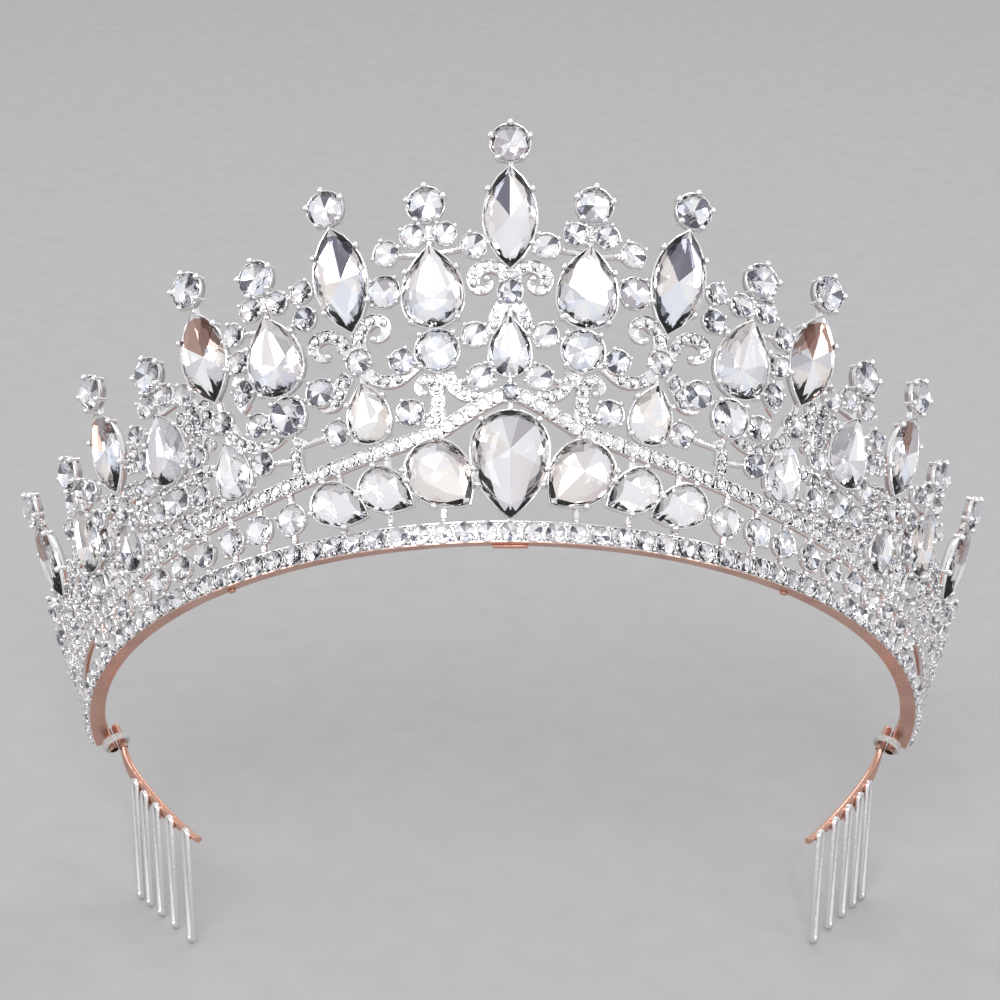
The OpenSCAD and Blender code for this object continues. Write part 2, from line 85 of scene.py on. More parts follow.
# Pears under the rail: s, height, width, length, turn in degrees
LOWER_PEARS = ((9.7, 8.4, 9.0, 11.6, 222), (17.6, 6.8, 6.2, 9.0, 236), (24.9, 5.7, 6.2, 9.0, 244))
# Round stones beside the pear columns: column, distance from its axis, height, radius
SIDE_ROUNDS = (
    (1, -5.7, 43.3, 1.9), (1, -5.1, 29.5, 1.9), (1, -5.6, 23.1, 1.9), (1, -2.1, 45.5, 1.75),
    (1, 2.1, 45.5, 1.75), (1, 5.6, 43.1, 1.9), (1, 6.4, 37.2, 2.45), (1, 5.0, 26.3, 1.8),
    (1, 4.5, 18.3, 2.0), (3, -6.0, 39.6, 1.7), (3, -5.6, 35.3, 1.8), (3, -5.4, 23.4, 2.1),
    (3, -6.6, 16.9, 1.85), (3, -2.0, 39.1, 1.75), (3, 2.0, 39.1, 1.75), (3, 5.4, 36.1, 1.75),
    (3, 5.6, 31.5, 1.75), (3, 5.9, 26.6, 1.8), (3, 5.0, 20.9, 1.85), (3, 5.8, 15.0, 1.8),
    (5, -5.6, 30.0, 1.75), (5, -5.4, 19.6, 1.6), (5, -4.4, 13.4, 1.6), (5, -2.1, 31.6, 1.7),
    (5, 2.1, 31.6, 1.7), (5, 5.4, 27.8, 1.55), (5, 5.4, 23.4, 1.55), (5, 5.4, 18.9, 1.6),
    (5, 4.8, 14.2, 1.7), (7, -5.2, 24.6, 1.55), (7, -5.2, 19.6, 1.55), (7, -4.6, 14.6, 1.55),
    (7, -2.1, 26.6, 1.6), (7, 2.1, 26.6, 1.6), (7, 5.2, 23.4, 1.5), (7, 5.2, 18.4, 1.5),
    (7, 4.6, 13.4, 1.55),
)
# Round stones that taper off past the last column: s, height, radius
TAIL_ROUNDS = ((97.6, 17.6, 1.8), (96.4, 12.6, 1.5), (100.6, 13.4, 1.5), (98.8, 8.6, 1.4), (102.6, 8.6, 1.4))
MIDDLE_ROUNDS = ((36.2, 1.8), (20.6, 1.25))
# The rail's middle line: s, height
RAIL_LINE = (
    (0, 20.6), (2.5, 19.9), (5, 18.3), (10, 15.2), (18, 13.2), (27, 11.4), (39, 9.6), (50, 8.5), (60, 7.6),
    (70, 6.9), (80, 6.3), (90, 5.6), (98, 4.8), (105, 3.2), (109, 1.6),
)
# Scrolls of one side: s, height and heading of the foot, length and turn of the sweep, length and turn of
# the curl, share of the width left at the tip. Headings and turns are clockwise from upwards.
SCROLLS = (
    (0.5, 37.8, -5, 7.9, 208, 3.7, 204, 0.5), (0.5, 34.7, 140, 3.9, 31, 1.1, -60, 0.8),
    (8.4, 24.1, -178, 2.3, 29, 4.7, 80, 0.9), (22.7, 29.2, -3, 5.0, 110, 5.0, 182, 0.6),
    (20.0, 28.1, 31, 5.5, -88, 5.7, -228, 0.6), (20.0, 26.1, -164, 7.1, 111, 1.8, 1, 0.7),
    (22.5, 25.1, 159, 3.8, -14, 3.0, -109, 0.8), (11.6, 16.2, -50, 7.4, 86, 4.2, 226, 0.5),
    (30.6, 10.8, 18, 3.8, -20, 3.0, -30, 0.8), (42.0, 22.8, -165, 6.2, 46, 5.4, 66, 0.8),
    (39.6, 24.4, -62, 4.8, 110, 1.4, 10, 0.8), (43.6, 23.6, 20, 3.4, 60, 2.6, 85, 0.6),
    (58.4, 14.2, 72, 4.4, -20, 3.6, -14, 0.9), (66.4, 18.6, -60, 3.4, -10, 5.0, -140, 0.6),
    (67.0, 18.8, 40, 3.2, 40, 3.4, 100, 0.6), (81.6, 13.4, 120, 4.0, -30, 4.6, -35, 0.9),
    (98.8, 8.6, 95, 3.6, 20, 5.0, 75, 0.8),
)
# Arms of one side: s and height of each bend
ARMS = (
    ((20.9, 27.4), (22.9, 29.8)), ((25.6, 22.2), (22.4, 25.6)), ((48.6, 29.6), (47.2, 24.0), (48.4, 14.0)),
    ((52.3, 8.2), (52.6, 12.0)), ((72.2, 19.6), (72.0, 14.6), (75.0, 8.2)), ((82.2, 18.4), (89.8, 12.8)),
    ((90.2, 12.6), (97.2, 17.4)), ((89.8, 12.2), (96.4, 12.6), (100.4, 13.2), (103.0, 8.6)),
    ((97.0, 12.2), (98.8, 8.8), (99.4, 4.6)),
)
# Comb, from the ring's centre in the standing frame: bend and end of the right bar
LUG_S, LUG_LOW, LUG_HIGH, STEM_OUT, LUG_OUT = 111, -4.4, -0.6, -2.55, -0.95
COMB_BEND, COMB_END = Vector((62.3, -4.0, -9.6)), Vector((49.0, -21.8, -8.4))
TEETH, TOOTH_RAKE, WIRE_R, WIRE_GAP, BINDING_R, THREAD_R = 5, 16, 0.45, 1.5, 2.12, 0.3
SIDES = (("left", -1), ("right", 1))
# Down the panel, towards the floor: silver faces that look this way get the painted rose reflection
DOWN_PANEL = Vector((0, -0.6, -0.8))

# Camera, fitted to the photograph: place in the ring's own frame, lens, and pitch, yaw and roll in degrees
CAMERA_AT, LENS, CAMERA_ANGLES = Vector((-6.4, -360.6, -163.2)), 84.42, (29.93, 0.97, -0.23)
# Soft lights: name, place in metres, width and height, power
LIGHTS = (
    ("key", (-0.25, -0.72, 0.95), (0.5, 0.4), 3.4), ("fill", (0.85, -0.6, 0.5), (0.25, 0.5), 1.5),
    ("side", (-0.95, -0.25, 0.35), (0.25, 0.5), 1.3), ("spark", (0.12, -0.85, 0.75), (0.06, 0.3), 1.2),
    ("back", (0.15, 0.55, 0.9), (0.6, 0.2), 1.6),
)
LIGHT_AIM = Vector((0, 0, 0.07))


# Places on the flared ring

def ease(t):
    u = min(max(t, 0.0), 1.0)
    return u * u * (3 - 2 * u)


def lean(s):
    return math.radians(FLARE + FLARE_MORE * ease((abs(s) - 65) / 40))


def rail_h(s):
    s = abs(s)
    for (a, low), (b, high) in zip(RAIL_LINE, RAIL_LINE[1:]):
        if s <= b:
            return low + (high - low) * max(s - a, 0) / (b - a)
    return RAIL_LINE[-1][1]


def axis_s(row, h):
    foot = rail_h(row[1])
    return row[1] + (row[2] - row[1]) * (h - foot) / (row[3] - foot)


def axis_turn(row):
    return math.degrees(math.atan((row[2] - row[1]) * 1.15 / (row[3] - rail_h(row[1]))))


def pear_row(number):
    return PEAR_COLUMNS[(number - 1) // 2]


def top_r(row):
    return FINIAL_R if row[0] else PEAK_R


LIFT = Vector((0, STAND_SHIFT, STAND_HEIGHT))
STAND = Matrix.Scale(MM, 4) @ Matrix.Translation(LIFT) @ Matrix.Rotation(-math.radians(TILT), 4, "X")


def panel(s, tilt):
    """Plane of the panel at s: x across, y up, z out to the front."""
    turn = Matrix.Rotation(s / FACE_R, 4, "Z") @ Matrix.Translation((0, -BACK_R, 0))
    return STAND @ turn @ Matrix.Rotation(tilt + math.pi / 2, 4, "X")


def spread(s, h):
    """How much wider the panel is at this height than at the band's face."""
    return (BACK_R + h * math.sin(lean(s))) / FACE_R


def seat(s, h, turn=0.0, out=0.0):
    """Place of a stone or a cup on its flat casting."""
    m = math.copysign(min(PLATE_MIDDLES, key=lambda q: abs(q - abs(s))), s)
    x = (s - m) * spread(m, h)
    return panel(m, lean(m)) @ Matrix.Translation((x, h, out)) @ Matrix.Rotation(-math.radians(turn), 4, "Z")


def on_curve(s, h, turn=0.0, out=0.0):
    """Place on the smooth ring, for what runs across the castings."""
    return panel(s, lean(s)) @ Matrix.Translation((0, h, out)) @ Matrix.Rotation(-math.radians(turn), 4, "Z")


def by_lug(side, h, out):
    return panel(side * LUG_S, lean(LUG_S)) @ Matrix.Translation((0, h, out))


def on_band(s, out=0.0, h=0.0):
    return panel(s, math.radians(FLARE)) @ Matrix.Translation((0, h, out))


# Outlines of the cut stones, clockwise from the top

def half_width(kind, w, l, y):
    """Half a stone's width at a height above its middle, and 0 beyond its tips."""
    if abs(y) >= l / 2:
        return 0
    if kind == "marquise":
        return w / 2 * (1 - (2 * y / l) ** 2) ** 0.85
    low = w / 2 - l / 2
    if kind == "pear" and y > low:
        return w / 2 * (1 - ((y - low) / (l - w / 2)) ** 2.4)
    return math.sqrt(max(w * w / 4 - (y - low) ** 2, 0))


def round_line(r, count):
    return [(r * math.sin(2 * math.pi * (i + 0.5) / count), r * math.cos(2 * math.pi * (i + 0.5) / count))
            for i in range(count)]


def marquise_line(w, l, count=9):
    ts = [1 - 2 * i / count for i in range(count)]
    right = [(w / 2 * (1 - t * t) ** 0.85, l / 2 * t) for t in ts]
    return right + [(-x, -y) for x, y in right]


def pear_line(w, l):
    low, rise = w / 2 - l / 2, l - w / 2
    side = [(w / 2 * (1 - t ** 2.4), low + rise * t) for t in (0.87, 0.73, 0.57, 0.4, 0.22)]
    belly = [(w / 2 * math.sin(math.radians(a)), low + w / 2 * math.cos(math.radians(a)))
             for a in range(90, 271, 15)]
    return [(0, l / 2)] + side + belly + [(-x, y) for x, y in reversed(side)]


def stone_line(kind, w, l, count=20):
    if kind == "marquise":
        return marquise_line(w, l)
    return pear_line(w, l) if kind == "pear" else round_line(w / 2, count)


# Everything that is placed: stones with their settings

def large_rows():
    for r in MARQUISE_COLUMNS:
        yield "marquise", "marquise", r[0], axis_s(r, r[4]), r[4], r[5], r[6], axis_turn(r)
    for r in PEAR_COLUMNS:
        yield "pear", "pear", r[0], axis_s(r, r[4]), r[4], r[5], r[6], axis_turn(r)
    for r in MARQUISE_COLUMNS:
        if r[8]:
            yield "small_pear", "pear", r[0], axis_s(r, r[8]), r[8], r[9], r[10], axis_turn(r)
    for r in PEAR_COLUMNS:
        yield "large_round", "round", r[0], axis_s(r, r[7]), r[7], 2 * r[8], 2 * r[8], 0
    yield "lower_pear", "pear", 0, 0.0, 9.9, 11.2, 16.0, 180
    for i, (s, h, w, l, turn) in enumerate(LOWER_PEARS, 1):
        yield "lower_pear", "pear", i, s, h, w, l, turn


def main_stones():
    """Name, kind, s, h, width, length and turn of each main stone."""
    for stem, kind, number, s, h, w, l, turn in large_rows():
        if s == 0:
            yield f"{stem}_middle", kind, s, h, w, l, turn
        else:
            for word, side in SIDES:
                yield f"{stem}_{number}_{word}", kind, side * s, h, w, l, side * turn


def lower_rounds():
    for i in range(10):
        s = 33 + 5.38 * i
        yield s, (rail_h(s) - 1.1 + BAND_H / 2) / 2, 2.25 - 0.1 * i


def side_rounds():
    for number, dx, h, r in SIDE_ROUNDS:
        yield axis_s(pear_row(number), h) + dx, h, r
    yield from TAIL_ROUNDS
    yield from lower_rounds()
    for row in MARQUISE_COLUMNS[1:]:
        yield axis_s(row, row[7]), row[7], 1.85


def finials():
    """s, height, turn and radius of each finial stone."""
    for row in PEAR_COLUMNS + MARQUISE_COLUMNS:
        for _, side in SIDES if row[0] else SIDES[1:]:
            yield side * row[2], row[3], side * axis_turn(row), top_r(row)


def every_stone():
    """Kind, s, h, width, length and turn of every stone on the right half, but the fine ones."""
    for _, kind, _, s, h, w, l, turn in large_rows():
        yield kind, s, h, w, l, turn
    for s, h, r in [*side_rounds(), *((0, h, r) for h, r in MIDDLE_ROUNDS)]:
        yield "round", s, h, 2 * r, 2 * r, 0
    for row in MARQUISE_COLUMNS + PEAR_COLUMNS:
        yield "round", row[2], row[3], 2 * top_r(row), 2 * top_r(row), 0


def covered(s, h, more=0.0):
    """Whether a point lies under a stone that is grown by so much on each side."""
    for kind, s0, h0, w, l, turn in ALL_STONES:
        dx, dy = (abs(s) - s0) * spread(s0, h0), h - h0
        if abs(dx) + abs(dy) < w + l + 2 * more:
            a = math.radians(turn)
            x, y = dx * math.cos(a) - dy * math.sin(a), dx * math.sin(a) + dy * math.cos(a)
            if abs(x) < half_width(kind, w + 2 * more, l + 2 * more, y):
                return True
    return False


def uncovered(path, more=-0.15):
    """The runs of a path that no stone covers."""
    run = []
    for p in path:
        if covered(p[0], p[1], more):
            if len(run) > 1:
                yield run
            run = []
        else:
            run.append(p)
    if len(run) > 1:
        yield run


ALL_STONES = tuple(every_stone())


def fill_stones():
    """Places of the fine stones that fill the panel's sides, each against a stone or another of them."""
    found = []
    for i in range(52):
        s = 45.5 + 1.12 * i
        top = 29.5 - 0.26 * (s - 48)
        for j in range(40):
            h = rail_h(s) + 2.0 + 0.62 * j + 0.3 * (i % 2)
            if h < top and not covered(s, h, 1.15):
                apart = [math.hypot((s - a) * 1.15, h - b) for a, b in found]
                held = covered(s, h, 1.75) or any(d < FILL_NEAR for d in apart)
                if held and all(d > FILL_APART for d in apart):
                    found.append((s, h))
    return found


# Hands: selecting, starting a shape, ending it

def clear_selection():
    if bpy.context.object and bpy.context.object.mode != "OBJECT":
        bpy.ops.object.mode_set(mode="OBJECT")
    bpy.ops.object.select_all(action="DESELECT")


def into_edit(mode="FACE"):
    bpy.ops.object.mode_set(mode="EDIT")
    bpy.ops.mesh.select_mode(type=mode)
    bpy.ops.mesh.select_all(action="SELECT")


def pick_faces(test):
    """Selects, in edit mode, the faces whose middle and normal pass the test."""
    obj = bpy.context.object
    bpy.ops.mesh.select_all(action="DESELECT")
    bpy.ops.object.mode_set(mode="OBJECT")
    for poly in obj.data.polygons:
        poly.select = test(poly.center, poly.normal)
    bpy.ops.object.mode_set(mode="EDIT")


def weld(distance):
    """Joins points that fall together, in edit mode, and turns the faces outwards."""
    bpy.ops.mesh.select_all(action="SELECT")
    bpy.ops.mesh.remove_doubles(threshold=distance)
    bpy.ops.mesh.normals_make_consistent(inside=False)


def take_template():
    """Ends a shape that will be copied: keeps its mesh and clears its object away."""
    bpy.ops.object.mode_set(mode="OBJECT")
    obj = bpy.context.object
    mesh = obj.data
    bpy.data.objects.remove(obj)
    return mesh


def blank_of(outline, *levels):
    """A slab with the stone's outline, through the given levels."""
    clear_selection()
    bpy.ops.mesh.primitive_circle_add(vertices=len(outline), radius=1, fill_type="NGON")
    obj = bpy.context.object
    for vert, (x, y) in zip(obj.data.vertices, outline):
        vert.co = (x, y, levels[0])
    into_edit()
    for low, high in zip(levels, levels[1:]):
        bpy.ops.mesh.extrude_region_move(TRANSFORM_OT_translate={"value": (0, 0, high - low)})
    bpy.ops.mesh.select_all(action="SELECT")
    bpy.ops.mesh.normals_make_consistent(inside=False)
    return obj


def grind(point, normal):
    """Takes off everything outside one flat."""
    bpy.ops.mesh.select_all(action="SELECT")
    bpy.ops.mesh.bisect(plane_co=point, plane_no=Vector(normal).normalized(), use_fill=True, clear_outer=True)


def reach(outline, angle):
    """The outline's furthest point in one direction, and that direction."""
    d = (math.sin(math.radians(angle)), math.cos(math.radians(angle)))
    return max(outline, key=lambda p: p[0] * d[0] + p[1] * d[1]), d


def crown_flats(outline, angles, slope, level, inset=0.0):
    """Grinds a ring of flats on the front, each touching the outline in its own direction."""
    a = math.radians(slope)
    for angle in angles:
        p, d = reach(outline, angle)
        at = (p[0] - d[0] * inset, p[1] - d[1] * inset, level)
        grind(at, (d[0] * math.sin(a), d[1] * math.sin(a), math.cos(a)))


def back_flats(outline, angles, culet, girdle, depth, share=1.0):
    """Grinds a ring of flats on the back; with a share of 1 they all meet in the culet."""
    for angle in angles:
        p, d = reach(outline, angle)
        far = (p[0] - culet[0]) * d[0] + (p[1] - culet[1]) * d[1]
        grind((p[0], p[1], girdle), (d[0] * depth, d[1] * depth, -far * share))


# Directions of the main facets and of the ones between them
FACET_ANGLES = {
    "marquise": ((56, 76, 104, 124, 236, 256, 284, 304), (66, 90, 114, 246, 270, 294)),
    "pear": ((60, 88, 118, 149, 180, 211, 242, 272, 300), (74, 103, 133, 164, 196, 227, 257, 286)),
    "round": (tuple(range(0, 360, 45)), tuple(a + 22.5 for a in range(0, 360, 45))),
}
STONE_CACHE = {}
# Depth of the back to half the width: so shallow that light leaves again after one reflection
PAVILION, DEEPEST_W = 0.2, 11
# Half widths from which a stone has its own table size, its own painted reflection tones and a third ring on
# its back
WIDE_TABLE, LARGE_REFLECTIONS_HALF, THIRD_RING = 2.6, 3.2, 3
TONE_STEPS = 10
# Painted reflections on the foil, by their number in the ramp: near the edge, in the upper middle (more dark,
# brown and blue painted reflections) and in the lower middle (mostly white painted highlights)
EDGE_PAINTED_REFLECTIONS = (0, 0, 1, 1, 2, 3, 3, 0, 9, 2)
TOP_PAINTED_REFLECTIONS = (5, 6, 4, 0, 1, 5, 3, 2, 7, 4)
LOW_PAINTED_REFLECTIONS = (0, 0, 0, 1, 0, 3, 9, 0, 0, 2)
SMALL_PAINTED_REFLECTIONS = (0, 0, 1, 0, 9, 0, 4, 0, 2, 0, 0, 6)


def cut_stone(kind, w, l, girdle, crown, fine=False, flip=1):
    """A cut stone: table, stars, mains and halves on the front, mains and halves to a culet on the back."""
    key = (kind, round(w, 2), round(l, 2), girdle, crown, flip)
    if key in STONE_CACHE:
        return STONE_CACHE[key]
    depth = PAVILION * min(w, l, DEEPEST_W) / 2
    line = stone_line(kind, w, l, 8 if fine else 16)
    mains, betweens = FACET_ANGLES[kind]
    half = min(w, l) / 2
    inset = (0.46 if half > WIDE_TABLE else 0.4) * half
    slope = math.degrees(math.atan(crown / inset))
    blank_of(line, girdle - depth, girdle + crown)
    if not fine:
        step = 11.25 if kind == "round" else 7
        crown_flats(line, [a + step for a in mains] + [a - step for a in mains], slope + 8, girdle)
    crown_flats(line, mains, slope, girdle + 0.03 * half)
    if not fine:
        crown_flats(line, betweens, slope * 0.62, girdle + crown, inset * 1.1)
    culet = (0, w / 2 - l / 2) if kind == "pear" else (0, 0)
    back_flats(line, mains, culet, girdle, depth)
    back_flats(line, betweens, culet, girdle, depth, 0.84)
    if half > THIRD_RING:
        back_flats(line, [a + 9 for a in mains] + [a - 9 for a in mains], culet, girdle + 0.01, depth, 0.7)
    weld(0.004 * half)
    mesh = take_template()
    # Each facet gets a painted reflection tone for the foil, standing in for the lamps, floor and table seen
    # through the glass: mostly white painted highlights in the lower middle and darker painted reflections in
    # the upper middle; flip keeps them so when the stone is turned over
    chance = random.Random(len(STONE_CACHE) * 7 + 3)
    painted_tones = [0.0] * len(mesh.polygons)
    # Faces come in another order each time, so the draws follow their places
    for poly in sorted(mesh.polygons, key=lambda p: [round(c, 2) for c in p.center.zyx]):
        poly.material_index = 1 if poly.normal.z < -0.03 else 0
        poly.use_smooth = False
        up = (poly.center.y - culet[1]) * flip / (l / 2)
        inner = math.hypot(poly.center.x / w, (poly.center.y - culet[1]) / l) < 0.36
        reflection_palette = EDGE_PAINTED_REFLECTIONS if not inner else TOP_PAINTED_REFLECTIONS if up > -0.08 else LOW_PAINTED_REFLECTIONS
        if half < LARGE_REFLECTIONS_HALF:
            reflection_palette = SMALL_PAINTED_REFLECTIONS
        painted_tones[poly.index] = (chance.choice(reflection_palette) + 0.5) / TONE_STEPS
    mesh.attributes.new("painted_reflection_tone", "FLOAT", "FACE").data.foreach_set("value", painted_tones)
    STONE_CACHE[key] = mesh
    return mesh


def smooth(mesh):
    for poly in mesh.polygons:
        poly.use_smooth = True
    return mesh


# Marks on the faces of metal: plain silver, always rose, rose where the face looks down the panel; on silver
# parts this rose is a painted warm reflection from below
SILVER, ROSE_REFLECTION, REFLECTS_IF_DOWN = 0, 1, 2


def cup(line, low, high, rim, bore, squeeze=0.86):
    """A setting's cup: a wall round the outline, drawn in towards the back and open down to bore."""
    wide = max(abs(x) for x, _ in line)
    tall = max(abs(y) for _, y in line)
    middle = low + (high - low) * 0.6
    big = [(x * (wide + rim) / wide, y * (tall + rim) / tall) for x, y in line]
    blank_of(big, low, middle, high)
    pick_faces(lambda c, n: n.z < -0.9)
    bpy.ops.transform.resize(value=(squeeze, squeeze, 1), center_override=(0, 0, low))
    pick_faces(lambda c, n: n.z > 0.9)
    bpy.ops.mesh.inset(thickness=rim * 0.4, depth=rim * 0.25, use_even_offset=True)
    bpy.ops.mesh.inset(thickness=rim * 0.4, depth=-rim * 0.1, use_even_offset=True)
    bpy.ops.mesh.extrude_region_move(TRANSFORM_OT_translate={"value": (0, 0, bore - high)})
    mesh = take_template()
    # Back faces and low walls that may look down the panel are marked rose: a painted warm reflection from
    # below
    for poly in mesh.polygons:
        low_wall = poly.center.xy.dot(poly.normal.xy) > 0 and poly.center.z < middle
        poly.material_index = ROSE_REFLECTION if poly.normal.z < -0.5 else REFLECTS_IF_DOWN if low_wall else SILVER
        poly.use_smooth = abs(poly.normal.z) < 0.6
    return mesh


def prong(low, high, bead, post, sides=8):
    """A claw: a post with a round bead on its end."""
    clear_selection()
    bpy.ops.mesh.primitive_uv_sphere_add(segments=sides, ring_count=max(4, sides // 2), radius=bead,
                                         location=(0, 0, high))
    ball = bpy.context.object
    if high > low:
        bpy.ops.mesh.primitive_cylinder_add(vertices=max(5, sides - 2), radius=post, depth=high - low,
                                            end_fill_type="NOTHING", location=(0, 0, (low + high) / 2))
        ball.select_set(True)
        bpy.ops.object.join()
    bpy.ops.object.transform_apply(location=True, rotation=True, scale=True)
    return smooth(take_template())


# Putting copies together into pieces

def gather(name, copies, materials, slot, *nodes):
    """One piece from many copies, each a template mesh and its place, settled in the frame."""
    points, faces, marks, soft, painted_tones = [], [], [], [], []
    for mesh, place in copies:
        start = len(points)
        points += [place @ v.co for v in mesh.vertices]
        faces += [[start + i for i in p.vertices] for p in mesh.polygons]
        soft += [p.use_smooth for p in mesh.polygons]
        # Walls that look down the panel turn rose: a painted warm reflection from below
        down = (place.to_3x3().transposed() @ DOWN_PANEL).normalized()
        for p in mesh.polygons:
            down_reflection = ROSE_REFLECTION if p.normal.dot(down) > 0.65 else SILVER
            marks.append(down_reflection if p.material_index == REFLECTS_IF_DOWN else p.material_index)
        # Painted reflection tones of the stones' foil; faces without them get a plain middle value
        tone = mesh.attributes.get("painted_reflection_tone")
        painted_tones += [d.value for d in tone.data] if tone else [0.5] * len(mesh.polygons)
    made = bpy.data.meshes.new(name)
    made.from_pydata(points, [], faces)
    made.polygons.foreach_set("material_index", marks)
    made.polygons.foreach_set("use_smooth", soft)
    made.attributes.new("painted_reflection_tone", "FLOAT", "FACE").data.foreach_set("value", painted_tones)
    for material in materials:
        made.materials.append(material)
    obj = bpy.data.objects.new(name, made)
    bpy.context.collection.objects.link(obj)
    settle(obj, slot, *nodes)


def settle(obj, slot, *nodes):
    if nodes:
        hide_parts(*nodes)
    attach(obj, "root")


def even_path(points, step=0.45):
    """Even points along a line through the given ones, with its length."""
    pts = [Vector(p) for p in points]
    lengths = [0.0]
    for a, b in zip(pts, pts[1:]):
        lengths.append(lengths[-1] + (b - a).length)
    count = max(2, round(lengths[-1] / step))
    out, j = [], 0
    for i in range(count + 1):
        want = lengths[-1] * i / count
        while j < len(lengths) - 2 and lengths[j + 1] < want:
            j += 1
        out.append(pts[j].lerp(pts[j + 1], (want - lengths[j]) / ((lengths[j + 1] - lengths[j]) or 1)))
    return out, lengths[-1]


def smooth_path(points, step=0.45):
    """Even points along a soft curve through the given bends."""
    pts = [Vector(p) for p in points]
    ext = [2 * pts[0] - pts[1]] + pts + [2 * pts[-1] - pts[-2]]
    dense = []
    for a, b, c, d in zip(ext, ext[1:], ext[2:], ext[3:]):
        for k in range(12):
            t = k / 12
            dense.append(0.5 * ((2 * b) + (c - a) * t + (2 * a - 5 * b + 4 * c - d) * t * t
                                + (3 * b - a - 3 * c + d) * t ** 3))
    return even_path(dense + [pts[-1]], step)


def scroll_path(row, side):
    """A sweep and then a curl, each an arc."""
    s, h, heading, *rest = row
    points = [(s, h)]
    for length, turn in (rest[:2], rest[2:4]):
        r, a = length / math.radians(turn), math.radians(heading)
        for k in range(1, 25):
            b = a + math.radians(turn) * k / 24
            points.append((s + r * (math.cos(a) - math.cos(b)), h + r * (math.sin(b) - math.sin(a))))
        (s, h), heading = points[-1], heading + turn
    return even_path([(side * x, y) for x, y in points], 0.3)


def both_sides(right):
    return right + [(-x, y) for x, y in reversed(right)]


def half_round(w, top):
    """Section of a plain stem: flat at the back, rounded at the front."""
    return both_sides([(w / 2 - 0.1, 0), (w / 2, 0.1), (w / 2, top * 0.5), (w * 0.38, top * 0.84),
                       (w * 0.16, top)])


def lipped(w, top, lip, sink):
    """Section of a channel that carries fine stones between two raised lips."""
    return both_sides([(w / 2 - 0.1, 0), (w / 2, 0.1), (w / 2, 0.5), (w / 2, top - 0.1), (w / 2 - 0.07, top),
                       (w / 2 - lip + 0.05, top), (w / 2 - lip, top - sink)])


def flat_line(name, points, widths=None):
    """A flat line of straight runs, open with widths and closed without them."""
    data = bpy.data.curves.new(name, "CURVE")
    data.dimensions = "2D"
    line = data.splines.new("POLY")
    line.points.add(len(points) - 1)
    line.use_cyclic_u = not widths
    for point, (x, y), width in zip(line.points, points, widths or [1.0] * len(points)):
        point.co = (x, y, 0, 1)
        point.radius = width
    obj = bpy.data.objects.new(name, data)
    bpy.context.collection.objects.link(obj)
    return obj


def bar_along(path, profile, widths):
    """A bar drawn along a flat path: profile is its section, x across and y out; widths scale it."""
    clear_selection()
    tool, obj = flat_line("section", profile), flat_line("bar", path, widths)
    obj.data.fill_mode = "NONE"
    obj.data.bevel_mode = "OBJECT"
    obj.data.bevel_object = tool
    obj.data.use_fill_caps = True
    bpy.context.view_layer.objects.active = obj
    obj.select_set(True)
    bpy.ops.object.convert(target="MESH")
    into_edit()
    weld(0.0001)
    mesh = take_template()
    bpy.data.objects.remove(tool)
    # Back faces and low walls that may look down the panel are marked rose: a painted warm reflection from
    # below
    for poly in mesh.polygons:
        wall = poly.normal.z < 0.35 and poly.center.z < 0.45
        poly.material_index = ROSE_REFLECTION if poly.normal.z < -0.5 else REFLECTS_IF_DOWN if wall else SILVER
        poly.use_smooth = False
    return mesh


def wrap(mesh):
    """Lays a flat bar of s, h and out on the ring, and settles which of its walls look down the panel and so
    get the painted rose reflection from below.
    """
    down = Vector((0, -1, 0))
    for poly in mesh.polygons:
        if poly.material_index == REFLECTS_IF_DOWN:
            poly.material_index = ROSE_REFLECTION if poly.normal.dot(down) > 0.6 else SILVER
    for v in mesh.vertices:
        s, h, out = v.co
        v.co = panel(s, lean(s)) @ Vector((0, h, out))
    mesh.update()
    return mesh


def tube(name, around, along, shape):
    """A round bar with rings bisected in; shape places a point by its share along and its angle."""
    clear_selection()
    bpy.ops.mesh.primitive_cylinder_add(vertices=around, radius=1, depth=1)
    obj = bpy.context.object
    into_edit()
    for k in range(1, along):
        bpy.ops.mesh.select_all(action="SELECT")
        bpy.ops.mesh.bisect(plane_co=(0, 0, k / along - 0.5), plane_no=(0, 0, 1))
    bpy.ops.object.mode_set(mode="OBJECT")
    for v in obj.data.vertices:
        v.co = shape(v.co.z + 0.5, math.atan2(v.co.y, v.co.x))
    into_edit()
    bpy.ops.mesh.normals_make_consistent(inside=False)
    bpy.ops.object.mode_set(mode="OBJECT")
    obj.name = obj.data.name = name
    bpy.ops.object.shade_smooth_by_angle(angle=math.radians(50))
    return obj


# Materials

def put(node, values):
    """Sets a node's sockets by their names."""
    for label, value in values.items():
        node.inputs[label].default_value = value
    return node


def wire(link, *ends):
    """Links an output to an input for each row: node, its socket, node, its socket."""
    for source, out, target, into in ends:
        link(source.outputs[out], target.inputs[into])


def new_material(name, values):
    """A material with its Principled BSDF set, and the hands to go on with it."""
    material = bpy.data.materials.new(name)
    material.use_nodes = True
    nodes, link = material.node_tree.nodes, material.node_tree.links.new
    return material, put(nodes["Principled BSDF"], values), nodes, link


def handled(nodes, values):
    """The group of the handled surface, placed in a material with its own values."""
    look = nodes.new("ShaderNodeGroup")
    look.node_tree = handled_surface()
    return put(look, values)


def node_group(name, inputs, outputs):
    group = bpy.data.node_groups.new(name, "ShaderNodeTree")
    for label, kind, value in inputs:
        socket = group.interface.new_socket(name=label, in_out="INPUT", socket_type=kind)
        socket.default_value = value
    for label, kind in outputs:
        group.interface.new_socket(name=label, in_out="OUTPUT", socket_type=kind)
    return group, group.nodes.new("NodeGroupInput"), group.nodes.new("NodeGroupOutput")


